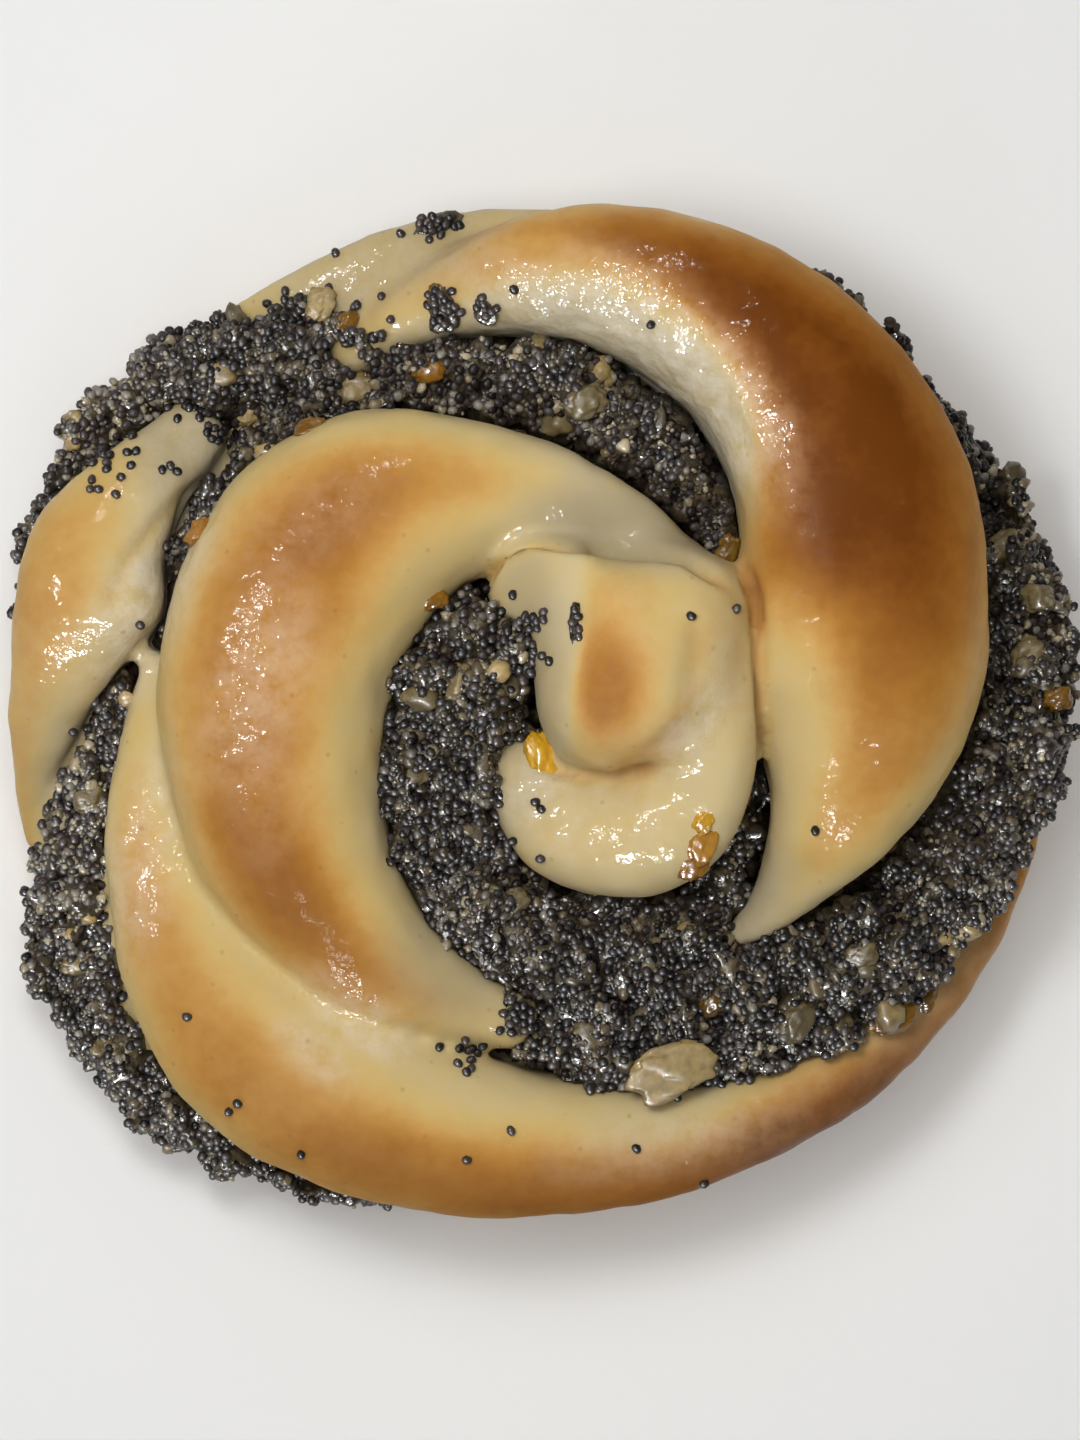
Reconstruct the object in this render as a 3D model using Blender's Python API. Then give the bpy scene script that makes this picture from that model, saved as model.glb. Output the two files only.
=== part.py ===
"""A coiled sweet roll of twisted dough with a poppy-seed filling.

The roll is a rope of soft dough and filling, twisted and coiled about a middle
that lies a little off the roll's own middle. Seen from above, long crescents
of dough cross the rope and the filling stands open between them. Every
crescent and every run of filling is a loft round the coil's middle, given by
evenly spaced stations: radius, width and crown height, in millimetres, from
its first angle to its last, in degrees. Sizes are millimetres; the finished
solids are metres with +Z up.
"""

import math
import random

import bmesh
import bpy
from mathutils import Vector, noise
from mathutils.bvhtree import BVHTree

MM = 0.001
COIL_X = 8.9
COIL_Y = 2.7
GAP = 0.3
SEED_SIZE = 1.25
FILLING_SEEDS = 81
CRESCENT_STEP = 5.0
RUN_STEP = 3.15
BODY_SIDES = 36
DOUGH_SHARE = 0.7
UNEVEN = 0.5

# Outline of the body at its widest height, every 22.5 degrees from +X.
OUTLINE = (41.5, 41, 41.2, 43.5, 45.5, 48, 52, 57.5, 60, 61, 59.5, 54, 49.5, 46.3, 43.6, 41.8)
BODY_PROFILE = ((-5.0, 0.0), (-2.2, 1.4), (-0.6, 4.6), (0.0, 9.0), (-0.8, 13.5), (-3.8, 16.5), (-9.0, 18.0))

# Crescents of dough, the inmost first.
WRAP = {
    "first": 118, "last": -150,
    "radius": (11, 9, 8.1, 7.2, 7.0, 8.3, 11.2, 13.2, 13.6, 12.6),
    "width": (6, 8, 9.2, 8.7, 8.4, 8.6, 11.1, 11.5, 11, 8),
    "crown": (36, 40.5, 42, 42, 41.5, 41.5, 40.8, 38.6, 36, 32),
    "sink": 17, "fat": 0.5,
}
BULB = {"middle_x": 7.6, "middle_y": 4.9, "long": 20.6, "wide": 16.6, "crown": 46, "sink": 22}
BULB_SHOULDER = {"middle_x": 11.8, "middle_y": 8.0, "long": 17, "wide": 13.6, "crown": 44.6, "sink": 20}
BULB_FLANK = {"middle_x": 1.4, "middle_y": 10.6, "long": 12.4, "wide": 14, "crown": 43.6, "sink": 18}
BULBS = (BULB, BULB_SHOULDER, BULB_FLANK)
BULB_NAMES = ("bulb", "shoulder", "flank")
# The tucked-in end falls to the left from a ridge: its place in x, its height and the slope.
RIDGE_X = 3.0
RIDGE_HIGH = 44.9
RIDGE_SLOPE = 1.5
INNER_LEFT = {
    "first": -110, "last": -300,
    "radius": (32.8, 34.9, 34.2, 32.5, 28.4, 20.3, 15, 13.2),
    "width": (5.4, 13.4, 19.7, 23, 21.6, 11.3, 5.5, 2.5),
    "crown": (29.5, 35.5, 40.2, 41, 40.4, 38.5, 36.5, 33),
    "sink": 17, "fat": 0.5,
}
UPPER_RIGHT = {
    "first": 131, "last": -69,
    "radius": (41.8, 39.4, 33.6, 26.1, 21.6, 20.5, 21.5, 25),
    "width": (4.8, 11.9, 18.4, 25.6, 24.4, 20.2, 10, 2.5),
    "crown": (28, 37.5, 42, 43, 42.3, 40.4, 36.5, 27),
    "sink": 20, "fat": 0.5,
}
LOWER = {
    "first": 8, "last": -184,
    "radius": (39.6, 40, 41, 41.8, 42.8, 45, 47.7, 47.5, 45.5),
    "width": (3, 4, 5, 7, 10.5, 15.5, 19, 10.5, 2.4),
    "crown": (11, 15, 20.5, 26, 30, 33, 34, 31.5, 25),
    "sink": 18, "fat": 0.5,
}
LEFT = {
    "first": -166, "last": -211,
    "radius": (60, 57.5, 54.4, 52.2, 52.4, 50.7, 48.8),
    "width": (2.5, 5.5, 9, 13.6, 12.6, 9, 6.5),
    "crown": (13, 21, 28, 31, 30, 28, 24),
    "sink": 18, "fat": 0.38,
}
TOP = {
    "first": 146, "last": 84,
    "radius": (54.3, 49.8, 46.3, 44.6, 43.2, 42),
    "width": (2.5, 5, 7.3, 7, 5, 3),
    "crown": (17.5, 24, 27.5, 27.5, 25, 20),
    "sink": 16, "fat": 0.36,
}
CRESCENTS = (WRAP, INNER_LEFT, UPPER_RIGHT, LOWER, LEFT, TOP)

# Runs of filling. The foot is the height its underside reaches down to.
FILLING_ONE = {
    "first": -78, "last": 262,
    "radius": (24, 18, 15, 13, 12.5, 12.5, 13.8, 17, 22, 28, 34.5, 40.8, 44.8, 49.4, 58.8, 60.6, 55.2, 49.6),
    "width": (11, 7.5, 5.5, 5, 5, 5, 6.5, 8.5, 10, 10.5, 9.5, 7.5, 5, 6.8, 10.4, 8.4, 5, 1.6),
    "crown": (28, 28, 27.5, 27, 27, 29, 30.5, 31.5, 32.5, 32.5, 31.5, 28, 25.5, 23.5, 18.8, 16.2, 11.5, 5.5),
    "foot": (5, 5, 5, 5, 5, 5, 5, 5, 5, 5, 5, 5, 5, 6, 8, 8.5, 6, 2.6),
}
FILLING_TWO = {
    "first": 128, "last": 448,
    "radius": (12.6, 14.8, 15.8, 17.3, 19.4, 24.0, 28, 28.8, 29.6, 32.6, 34.8, 36.6, 38, 39.2, 40.6, 42.6, 43.4),
    "width": (6, 11, 15, 16.5, 17.4, 14.7, 18, 21.5, 21, 15, 12, 11.8, 11, 8.5, 5, 5, 2),
    "crown": (30, 35.5, 37, 36, 34.2, 31, 28.6, 29.4, 29.5, 28.3, 27.3, 25.5, 22.5, 18.5, 16.5, 17, 16),
    "foot": (9, 7, 5, 5, 5, 5, 5, 5, 5, 5, 6, 7, 8, 8, 9, 11, 13.5),
}
FILLING_THREE = {
    "first": 108, "last": 183,
    "radius": (37, 39.5, 48, 55.5, 59.5, 58.4),
    "width": (6, 10, 12, 9.5, 6, 2),
    "crown": (25, 29.5, 27, 21.5, 14, 7),
    "foot": (7, 7, 7, 8, 7, 4),
}
FILLING_RUNS = (FILLING_ONE, FILLING_TWO, FILLING_THREE)
# Section of a run: shares of its half width outwards and of its half height upwards.
RUN_SECTION = (
    (-0.75, -1.0), (0.75, -1.0), (1.0, 0.2), (0.9, 0.8), (0.48, 0.97),
    (0.0, 1.0), (-0.48, 0.97), (-0.9, 0.8), (-1.0, 0.2),
)
# Angles of a crescent's section, close set over the crown and few below.
CRESCENT_SECTION = (0, 26, 50, 72, 94, 118, 146, 180, 228, 270, 312)

# Pieces of nut and peel lying in the filling: angle, radius, length, width, height, turn.
CHUNKS = (
    (-84, 35.5, 8.0, 4.8, 3.4, 12), (-64, 34.3, 4.0, 3.0, 2.6, 60), (21, 38.2, 4.2, 3.2, 3.0, 30),
    (13, 39.4, 3.2, 2.6, 2.6, 0), (5, 37.5, 3.6, 2.8, 2.8, 80), (-1, 40.5, 2.6, 2.2, 2.4, 20),
    (-52, 37.5, 4.6, 2.0, 1.8, 40), (144, 46.5, 3.8, 2.6, 2.4, 50), (100, 27.0, 4.0, 2.8, 2.4, 20),
    (200, 22.0, 3.4, 2.6, 2.2, 0), (68, 18.5, 2.4, 1.8, 1.6, 70), (206, 60.0, 3.4, 2.4, 2.0, 15),
)
# Single seeds lying on the dough: angle, radius.
DOUGH_SEEDS = (
    (141, 15.8), (57, 8.3), (41, 12.6), (228, 13.8), (239, 18.0), (226, 19.2), (154, 13.2),
    (107, 38.3), (88, 33.0), (203, 55.3), (209, 58.7), (254, 42.2), (270, 42.5), (285, 46.3),
    (278, 46.4), (216, 51.0), (166, 51.5), (131, 47.5), (121, 46.4), (322, 20.6), (153, 52.0),
    (198, 53.2), (124, 49.8), (250, 46.0),
)


def clear_scene():
    for thing in list(bpy.data.objects):
        bpy.data.objects.remove(thing, do_unlink=True)


def along(values, share):
    """Smooth value at a share of the way through evenly spaced stations."""
    last = len(values) - 1
    place = min(max(share, 0.0), 1.0) * last
    i = min(int(place), last - 1)
    f = place - i
    a, b = values[max(i - 1, 0)], values[i]
    c, d = values[i + 1], values[min(i + 2, last)]
    curve = (2 * a - 5 * b + 4 * c - d) * f * f + (3 * b - a - 3 * c + d) * f ** 3
    return 0.5 * (2 * b + (c - a) * f + curve)


def plan(angle, radius):
    """Place in plan at an angle and a radius from the coil's middle."""
    turn = math.radians(angle)
    return COIL_X + radius * math.cos(turn), COIL_Y + radius * math.sin(turn)


def power(value, exponent):
    return math.copysign(abs(value) ** exponent, value)


def lump(point, size, seed):
    """Smooth unevenness from -1 to 1 at a point, with features of one size."""
    return noise.noise(Vector((point[0] / size + 7.3 * seed, point[1] / size, point[2] / size)))


def mesh_object(name, bm):
    if bm.calc_volume(signed=True) < 0:
        bmesh.ops.reverse_faces(bm, faces=bm.faces)
    data = bpy.data.meshes.new(name)
    bm.to_mesh(data)
    bm.free()
    made = bpy.data.objects.new(name, data)
    bpy.context.scene.collection.objects.link(made)
    return made


def loft(name, rings, ends):
    """Closed body through rings of points in millimetres, each end drawn to a point."""
    bm = bmesh.new()
    loops = [[bm.verts.new(Vector(p) * MM) for p in ring] for ring in rings]
    count = len(loops[0])
    for low, high in zip(loops, loops[1:]):
        for k in range(count):
            j = (k + 1) % count
            bm.faces.new((low[k], low[j], high[j], high[k]))
    for loop, end in zip((loops[0][::-1], loops[-1]), ends):
        tip = bm.verts.new(Vector(end) * MM)
        for k in range(count):
            bm.faces.new((loop[k], loop[(k + 1) % count], tip))
    bmesh.ops.triangulate(bm, faces=bm.faces)
    return mesh_object(name, bm)


def crescent(name, spec, grow=0.0):
    """Rounded crescent of dough, thicker by grow all round."""
    sweep = spec["last"] - spec["first"]
    mean = sum(spec["radius"]) / len(spec["radius"])
    count = max(9, round(abs(math.radians(sweep)) * mean / CRESCENT_STEP))
    rings, ends = [], []
    for i in range(-1, count + 2):
        share = min(max(i, 0), count) / count
        angle = spec["first"] + sweep * share
        radius = along(spec["radius"], share)
        half = max(along(spec["width"], share), 1.0) / 2
        crown = along(spec["crown"], share)
        rise = min(half * 2 * spec["fat"], 11.0)
        sink = min(spec["sink"], half * 2.2 + 3)
        shoulder = crown - rise
        if i in (-1, count + 1):
            turn = math.copysign(math.degrees((half * 0.8 + grow) / radius), i * sweep)
            ends.append((*plan(angle + turn, radius), shoulder - 1))
            continue
        ring = []
        for degrees in CRESCENT_SECTION:
            theta = math.radians(degrees)
            out, up = power(math.cos(theta), 0.85), power(math.sin(theta), 0.9)
            tall = rise if up > 0 else sink
            at = (*plan(angle, radius + out * half), shoulder + up * tall)
            soft = UNEVEN * lump(at, 9.0, 1)
            x, y = plan(angle, radius + out * (half + grow + soft * 0.5))
            ring.append((x, y, shoulder + up * (tall + grow + soft)))
        rings.append(ring)
    return loft(name, rings, ends)


def bulb(name, spec, grow=0.0):
    """Tucked-in end of the rope: a domed oval whose left side falls from a soft ridge."""
    rings = []
    for j in range(1, 8):
        polar = math.pi * j / 8
        level, reach = power(math.cos(polar), 0.85), math.sin(polar) ** 0.72
        ring = []
        for k in range(16):
            theta = 2 * math.pi * k / 16
            across = power(math.cos(theta), 0.82) * (spec["wide"] / 2 + grow) * reach
            up = power(math.sin(theta), 0.82) * (spec["long"] / 2 + grow) * reach
            tall = 11 if level > 0 else spec["sink"] - 11
            lean = 1.0 * max(level, 0)
            x, y = spec["middle_x"] + across + lean, spec["middle_y"] + up
            slant = RIDGE_HIGH + grow + RIDGE_SLOPE * (x - RIDGE_X)
            ring.append((x, y, min(spec["crown"] - 11 + level * (tall + grow), max(slant, 30))))
        rings.append(ring)
    x = spec["middle_x"] + 1.0
    high = (x, spec["middle_y"], min(spec["crown"], RIDGE_HIGH + RIDGE_SLOPE * (x - RIDGE_X)) + grow)
    low = (spec["middle_x"], spec["middle_y"], spec["crown"] - spec["sink"] - grow)
    return loft(name, rings, (high, low))


def filling_run(name, spec, grow=0.0):
    """Run of filling: a wall with a rounded lumpy top, thicker by grow all round."""
    sweep = spec["last"] - spec["first"]
    mean = sum(spec["radius"]) / len(spec["radius"])
    count = round(abs(math.radians(sweep)) * mean / RUN_STEP)
    rings, ends = [], []
    for i in range(-1, count + 2):
        share = min(max(i, 0), count) / count
        angle = spec["first"] + sweep * share
        radius = along(spec["radius"], share)
        half = max(along(spec["width"], share), 1.6) / 2
        crown, foot = along(spec["crown"], share), along(spec["foot"], share)
        middle, tall = (crown + foot) / 2, max((crown - foot) / 2, 1.2)
        if i in (-1, count + 1):
            turn = math.copysign(math.degrees((half * 0.8 + grow) / radius), i * sweep)
            ends.append((*plan(angle + turn, radius), middle))
            continue
        ring = []
        for out, up in RUN_SECTION:
            at = (*plan(angle, radius + out * half), middle + up * tall)
            soft = 2.4 * lump(at, 4.6, 3) + 1.1 * lump(at, 2.6, 5)
            x, y = plan(angle, radius + out * (half + grow + soft * 0.4))
            rise = tall + grow + (soft if up > 0 else 0)
            ring.append((x, y, middle + up * rise))
        rings.append(ring)
    return loft(name, rings, ends)


def body(name):
    """Low body of dough that the crescents and the filling are bedded in."""
    rings = []
    for out, high in BODY_PROFILE:
        ring = []
        for k in range(BODY_SIDES):
            share = k / BODY_SIDES * len(OUTLINE)
            radius = along(OUTLINE + OUTLINE[:1], share / len(OUTLINE)) + out
            angle = k * 360 / BODY_SIDES
            swell = UNEVEN * lump((*plan(angle, radius), high), 14.0, 2) if high > 0 else 0
            ring.append((*plan(angle, radius + swell), high))
        rings.append(ring)
    ends = ((COIL_X, COIL_Y, 0.0), (COIL_X, COIL_Y, BODY_PROFILE[-1][1]))
    return loft(name, rings, ends)


def boolean(target, other, operation):
    """Boolean of one object or one collection, applied, with the other removed."""
    cut = target.modifiers.new("cut", "BOOLEAN")
    cut.operation = operation
    cut.solver = "MANIFOLD"
    several = isinstance(other, bpy.types.Collection)
    if several:
        cut.operand_type = "COLLECTION"
        cut.collection = other
    else:
        cut.object = other
    graph = bpy.context.evaluated_depsgraph_get()
    graph.update()
    made = bpy.data.meshes.new_from_object(target.evaluated_get(graph))
    target.modifiers.clear()
    target.data = made
    for thing in list(other.objects) if several else [other]:
        bpy.data.objects.remove(thing, do_unlink=True)
    return target


def collection_of(name, things):
    group = bpy.data.collections.new(name)
    bpy.context.scene.collection.children.link(group)
    for thing in things:
        bpy.context.scene.collection.objects.unlink(thing)
        group.objects.link(thing)
    return group


def surface_tree(target):
    bm = bmesh.new()
    bm.from_mesh(target.data)
    tree = BVHTree.FromBMesh(bm)
    bm.free()
    return tree


def drop(tree, x, y):
    """Top point of a surface at a place in plan, with its normal."""
    hit, normal, _, _ = tree.ray_cast(Vector((x * MM, y * MM, 0.1)), Vector((0, 0, -1)))
    return hit, normal


def oval(name, middle, size, turn, subdivisions):
    """Small rounded piece: an icosphere stretched to its size and turned."""
    bm = bmesh.new()
    bmesh.ops.create_icosphere(bm, subdivisions=subdivisions, radius=0.5)
    for vert in bm.verts:
        vert.co = Vector(vert.co[i] * size[i] for i in range(3))
        bump = 1 + 0.18 * lump(vert.co * 1.3 + Vector(middle) * 50, 1.0, 4)
        x, y = vert.co.x * bump, vert.co.y * bump
        cosine, sine = math.cos(math.radians(turn)), math.sin(math.radians(turn))
        vert.co = Vector((x * cosine - y * sine, x * sine + y * cosine, vert.co.z)) * MM + middle
    return mesh_object(name, bm)


def toppings_on_filling(filling, dough):
    """Pieces of nut and peel, then seeds spread evenly over the open filling."""
    own, other = surface_tree(filling), surface_tree(dough)
    made, taken = [], []
    for i, (angle, radius, long, wide, tall, turn) in enumerate(CHUNKS):
        hit, _ = drop(own, *plan(angle, radius))
        above, _ = drop(other, *plan(angle, radius))
        if hit is None or (above is not None and above.z > hit.z):
            continue
        near = other.find_nearest(hit)[3] / MM
        fit = min(1.0, (near - 0.5) * 2 / long)
        if fit < 0.5:
            continue
        size = (long * fit, wide * fit, tall * fit)
        made.append(oval(f"chunk_{i}", hit + Vector((0, 0, 0.1 * MM)), size, turn, 2 if long > 4 else 1))
        taken.append((hit, long * fit / 2 * MM))
    chunk_count = len(made)
    draw = random.Random(5)
    spacing = 3.0
    tries = 0
    while len(made) < chunk_count + FILLING_SEEDS and tries < 20000:
        tries += 1
        x, y = draw.uniform(-54, 54), draw.uniform(-52, 52)
        hit, normal = drop(own, x, y)
        if hit is None or normal.z < 0.35 or hit.z < 0.006:
            continue
        above, _ = drop(other, x, y)
        if above is not None and above.z > hit.z:
            continue
        if other.find_nearest(hit)[3] < (SEED_SIZE * 0.5 + 0.45) * MM:
            continue
        if any((hit - p).length < reach + spacing * MM * 0.5 for p, reach in taken):
            continue
        taken.append((hit, spacing * MM * 0.5))
        made.append(oval(f"seed_{len(made)}", hit + normal * 0.15 * MM, (SEED_SIZE,) * 3, 37 * tries, 1))
    return made


def toppings_on_dough(dough, filling):
    own, other = surface_tree(dough), surface_tree(filling)
    made = []
    for i, (angle, radius) in enumerate(DOUGH_SEEDS):
        hit, normal = drop(own, *plan(angle, radius))
        if hit is None or other.find_nearest(hit)[3] < (SEED_SIZE * 0.5 + 0.45) * MM:
            continue
        above, _ = drop(other, *plan(angle, radius))
        if above is not None and above.z > hit.z:
            continue
        made.append(oval(f"lone_{i}", hit + normal * 0.2 * MM, (SEED_SIZE,) * 3, 50 * i, 1))
    return made


def thin_out(target, share):
    """Fewer triangles on the smooth surfaces, keeping the shape."""
    fewer = target.modifiers.new("fewer", "DECIMATE")
    fewer.ratio = share
    graph = bpy.context.evaluated_depsgraph_get()
    graph.update()
    made = bpy.data.meshes.new_from_object(target.evaluated_get(graph))
    target.modifiers.clear()
    target.data = made


def largest_body(target):
    """Keeps the largest connected body, dropping scraps that a cut left loose."""
    bm = bmesh.new()
    bm.from_mesh(target.data)
    bmesh.ops.remove_doubles(bm, verts=bm.verts, dist=0.002 * MM)
    bmesh.ops.triangulate(bm, faces=bm.faces)
    left, groups = set(bm.verts), []
    while left:
        reached, edge = set(), [next(iter(left))]
        while edge:
            vert = edge.pop()
            if vert in reached:
                continue
            reached.add(vert)
            edge.extend(e.other_vert(vert) for e in vert.link_edges)
        left -= reached
        groups.append(reached)
    groups.sort(key=len)
    for group in groups[:-1]:
        bmesh.ops.delete(bm, geom=list(group), context="VERTS")
    bm.to_mesh(target.data)
    bm.free()
    return len(groups)


def material(name, colour, roughness):
    made = bpy.data.materials.new(name)
    made.use_nodes = True
    shader = made.node_tree.nodes["Principled BSDF"]
    shader.inputs["Base Color"].default_value = (*colour, 1.0)
    shader.inputs["Roughness"].default_value = roughness
    shader.inputs["Metallic"].default_value = 0.0
    return made


def dress(target, made):
    """One material and smooth shading all over a solid."""
    target.data.materials.clear()
    target.data.materials.append(made)
    for face in target.data.polygons:
        face.material_index = 0
        face.use_smooth = True
    target.data.set_sharp_from_angle(angle=math.radians(48))


def centre(things):
    """Moves the solids so the roll's bounding box stands on and about the origin."""
    points = [v.co for thing in things for v in thing.data.vertices]
    low = [min(p[i] for p in points) for i in range(3)]
    high = [max(p[i] for p in points) for i in range(3)]
    shift = Vector((-(low[0] + high[0]) / 2, -(low[1] + high[1]) / 2, -low[2]))
    for thing in things:
        for vert in thing.data.vertices:
            vert.co += shift
    print("shift mm", [round(v / MM, 3) for v in shift], "size", [round((h - l) / MM, 2) for h, l in zip(high, low)])


def build():
    clear_scene()
    names = ("wrap", "inner_left", "upper_right", "lower", "left", "top")
    filling = filling_run("poppy_filling", FILLING_ONE)
    more = [filling_run(f"run_{i}", spec) for i, spec in enumerate(FILLING_RUNS[1:])]
    boolean(filling, collection_of("runs", more), "UNION")
    cutters = [crescent(f"cut_{n}", s, GAP) for n, s in zip(names, CRESCENTS)]
    cutters += [bulb(f"cut_{n}", s, GAP) for n, s in zip(BULB_NAMES, BULBS)]
    boolean(filling, collection_of("cutters", cutters), "DIFFERENCE")
    print("filling bodies", largest_body(filling), len(filling.data.polygons))

    dough = body("dough")
    for i, spec in enumerate(FILLING_RUNS):
        boolean(dough, filling_run(f"room_{i}", spec, GAP), "DIFFERENCE")
    print("body after rooms", len(dough.data.polygons))
    shapes = [crescent(n, s) for n, s in zip(names, CRESCENTS)]
    shapes += [bulb(n, s) for n, s in zip(BULB_NAMES, BULBS)]
    boolean(dough, collection_of("crescents", shapes), "UNION")
    thin_out(dough, DOUGH_SHARE)
    print("dough bodies", largest_body(dough), len(dough.data.polygons))

    on_dough = toppings_on_dough(dough, filling)
    on_filling = toppings_on_filling(filling, dough)
    boolean(dough, collection_of("dough_seeds", on_dough), "UNION")
    boolean(filling, collection_of("filling_pieces", on_filling), "UNION")
    largest_body(dough)
    largest_body(filling)
    dress(dough, material("dough", (0.58, 0.34, 0.12), 0.35))
    dress(filling, material("poppy_filling", (0.035, 0.03, 0.04), 0.5))
    centre((dough, filling))
    print("triangles", len(dough.data.polygons), len(filling.data.polygons))


build()
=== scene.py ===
import math
import random

import bmesh
import bpy
import numpy as np
from mathutils import Euler, Matrix, Vector, noise
from mathutils.bvhtree import BVHTree
from mathutils.kdtree import KDTree


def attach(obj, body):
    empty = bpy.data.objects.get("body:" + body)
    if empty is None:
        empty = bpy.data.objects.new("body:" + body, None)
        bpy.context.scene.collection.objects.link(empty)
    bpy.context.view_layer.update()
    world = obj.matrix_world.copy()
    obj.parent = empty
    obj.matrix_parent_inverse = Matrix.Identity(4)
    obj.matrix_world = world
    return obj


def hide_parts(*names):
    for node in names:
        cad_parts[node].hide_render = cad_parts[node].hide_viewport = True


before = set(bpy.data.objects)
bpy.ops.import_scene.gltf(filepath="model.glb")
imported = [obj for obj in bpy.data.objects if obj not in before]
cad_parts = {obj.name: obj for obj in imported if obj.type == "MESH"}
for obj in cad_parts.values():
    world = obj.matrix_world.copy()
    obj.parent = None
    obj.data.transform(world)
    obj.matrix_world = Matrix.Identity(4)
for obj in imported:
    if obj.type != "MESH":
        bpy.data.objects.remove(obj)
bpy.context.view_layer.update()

mm = 0.001
coilMiddle = (8.9, 2.7)  # the point the coil turns about, in mm
rollShift = Vector((0.13, 0.15, 0.0)) * mm  # puts the roll's box over the origin, as in the solid


def stationValue(values, share):
    # smooth value at a share of the way through evenly spaced stations
    last = len(values) - 1
    place = min(max(share, 0.0), 1.0) * last
    i = min(int(place), last - 1)
    f = place - i
    a, b = values[max(i - 1, 0)], values[i]
    c, d = values[i + 1], values[min(i + 2, last)]
    curve = (2 * a - 5 * b + 4 * c - d) * f * f + (3 * b - a - 3 * c + d) * f ** 3
    return 0.5 * (2 * b + (c - a) * f + curve)


def coilPlace(angle, radius):
    turn = math.radians(angle)
    return coilMiddle[0] + radius * math.cos(turn), coilMiddle[1] + radius * math.sin(turn)


def power(value, exponent):
    return math.copysign(abs(value) ** exponent, value)


def lump(point, size, seed):
    # smooth unevenness from -1 to 1, with features of one size in mm
    return noise.noise(Vector((point[0] / size + 7.3 * seed, point[1] / size, point[2] / size)))


def fall(value, start, end):
    # 0 at start, 1 at end, eased at both
    t = min(max((value - start) / (end - start), 0.0), 1.0)
    return t * t * (3 - 2 * t)


def eased(values, start, end):
    # fall() for a whole array
    t = np.clip((values - start) / (end - start), 0, 1)
    return t * t * (3 - 2 * t)


def scaleOf(size):
    # a pattern's scale from the size of its features in mm
    return 1 / (size * mm)


def linearColour(hexText):
    parts = [int(hexText[i:i + 2], 16) / 255 for i in (1, 3, 5)]
    return (*(c / 12.92 if c <= 0.04045 else ((c + 0.055) / 1.055) ** 2.4 for c in parts), 1.0)


def setInputs(tree, node, inputs):
    # each input is given as a node or socket to link, a hex colour or a plain value
    for name, value in inputs.items():
        if isinstance(value, bpy.types.Node):
            value = value.outputs[0]
        if isinstance(value, bpy.types.NodeSocket):
            tree.links.new(value, node.inputs[name])
        elif isinstance(value, str) and value.startswith("#"):
            node.inputs[name].default_value = linearColour(value)
        else:
            node.inputs[name].default_value = value


def addNode(tree, kind, settings=None, inputs=None, stops=()):
    # of a ramp's stops the two outer ones come first
    made = tree.nodes.new(kind)
    for name, value in (settings or {}).items():
        setattr(made, name, value)
    setInputs(tree, made, inputs or {})
    for i, (place, colour) in enumerate(stops):
        stop = made.color_ramp.elements[i] if i < 2 else made.color_ramp.elements.new(place)
        stop.position = place
        stop.color = linearColour(colour)
    return made


def newPiece(name, bm):
    data = bpy.data.meshes.new(name)
    bm.to_mesh(data)
    bm.free()
    piece = bpy.data.objects.new(name, data)
    bpy.context.scene.collection.objects.link(piece)
    return piece


def rolledGrid(name, alongCount, roundCount, place):
    # a flat grid rolled into a closed strand: place gives each point from its shares along and round
    bm = bmesh.new()
    bmesh.ops.create_grid(bm, x_segments=alongCount, y_segments=roundCount, size=0.5)
    for vert in bm.verts:
        vert.co = place(vert.co.x + 0.5, vert.co.y + 0.5)
    bmesh.ops.remove_doubles(bm, verts=bm.verts, dist=0.01 * mm)
    bmesh.ops.recalc_face_normals(bm, faces=bm.faces)
    return newPiece(name, bm)


def applyModifiers(piece):
    graph = bpy.context.evaluated_depsgraph_get()
    graph.update()
    made = bpy.data.meshes.new_from_object(piece.evaluated_get(graph))
    piece.modifiers.clear()
    piece.data = made
    return piece


def joinPieces(name, pieces):
    bm = bmesh.new()
    for piece in pieces:
        bm.from_mesh(piece.data)
        bpy.data.objects.remove(piece, do_unlink=True)
    return newPiece(name, bm)


def remeshed(piece, size):
    # one skin of even small faces over everything that overlaps
    change = piece.modifiers.new("oneSkin", "REMESH")
    change.mode = "VOXEL"
    change.voxel_size = size * mm
    change.use_smooth_shade = True
    return applyModifiers(piece)


def cutBy(piece, cutter):
    change = piece.modifiers.new("room", "BOOLEAN")
    change.operation = "DIFFERENCE"
    change.solver = "MANIFOLD"
    change.object = cutter
    applyModifiers(piece)
    bpy.data.objects.remove(cutter, do_unlink=True)
    return piece


def meshPoints(piece):
    points = np.empty(len(piece.data.vertices) * 3, np.float32)
    piece.data.vertices.foreach_get("co", points)
    return points.reshape(-1, 3)


def neighbourMean(piece, values, rounds):
    # values at the points, each round averaged with those along the edges
    edges = np.empty(len(piece.data.edges) * 2, np.int32)
    piece.data.edges.foreach_get("vertices", edges)
    a, b = edges.reshape(-1, 2).T
    count = np.bincount(edges, minlength=len(values))[:, None]
    for _ in range(rounds):
        total = np.zeros_like(values)
        for column in range(values.shape[1]):
            total[:, column] = np.bincount(a, values[b, column], len(values))
            total[:, column] += np.bincount(b, values[a, column], len(values))
        values = 0.5 * values + 0.5 * total / np.maximum(count, 1)
    return values


def surfaceTree(piece):
    bm = bmesh.new()
    bm.from_mesh(piece.data)
    tree = BVHTree.FromBMesh(bm)
    bm.free()
    return tree


def smoothShaded(piece, material):
    piece.data.materials.clear()
    piece.data.materials.append(material)
    piece.data.polygons.foreach_set("material_index", np.zeros(len(piece.data.polygons), np.int32))
    piece.data.polygons.foreach_set("use_smooth", np.ones(len(piece.data.polygons), bool))
    piece.data.update()


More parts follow.
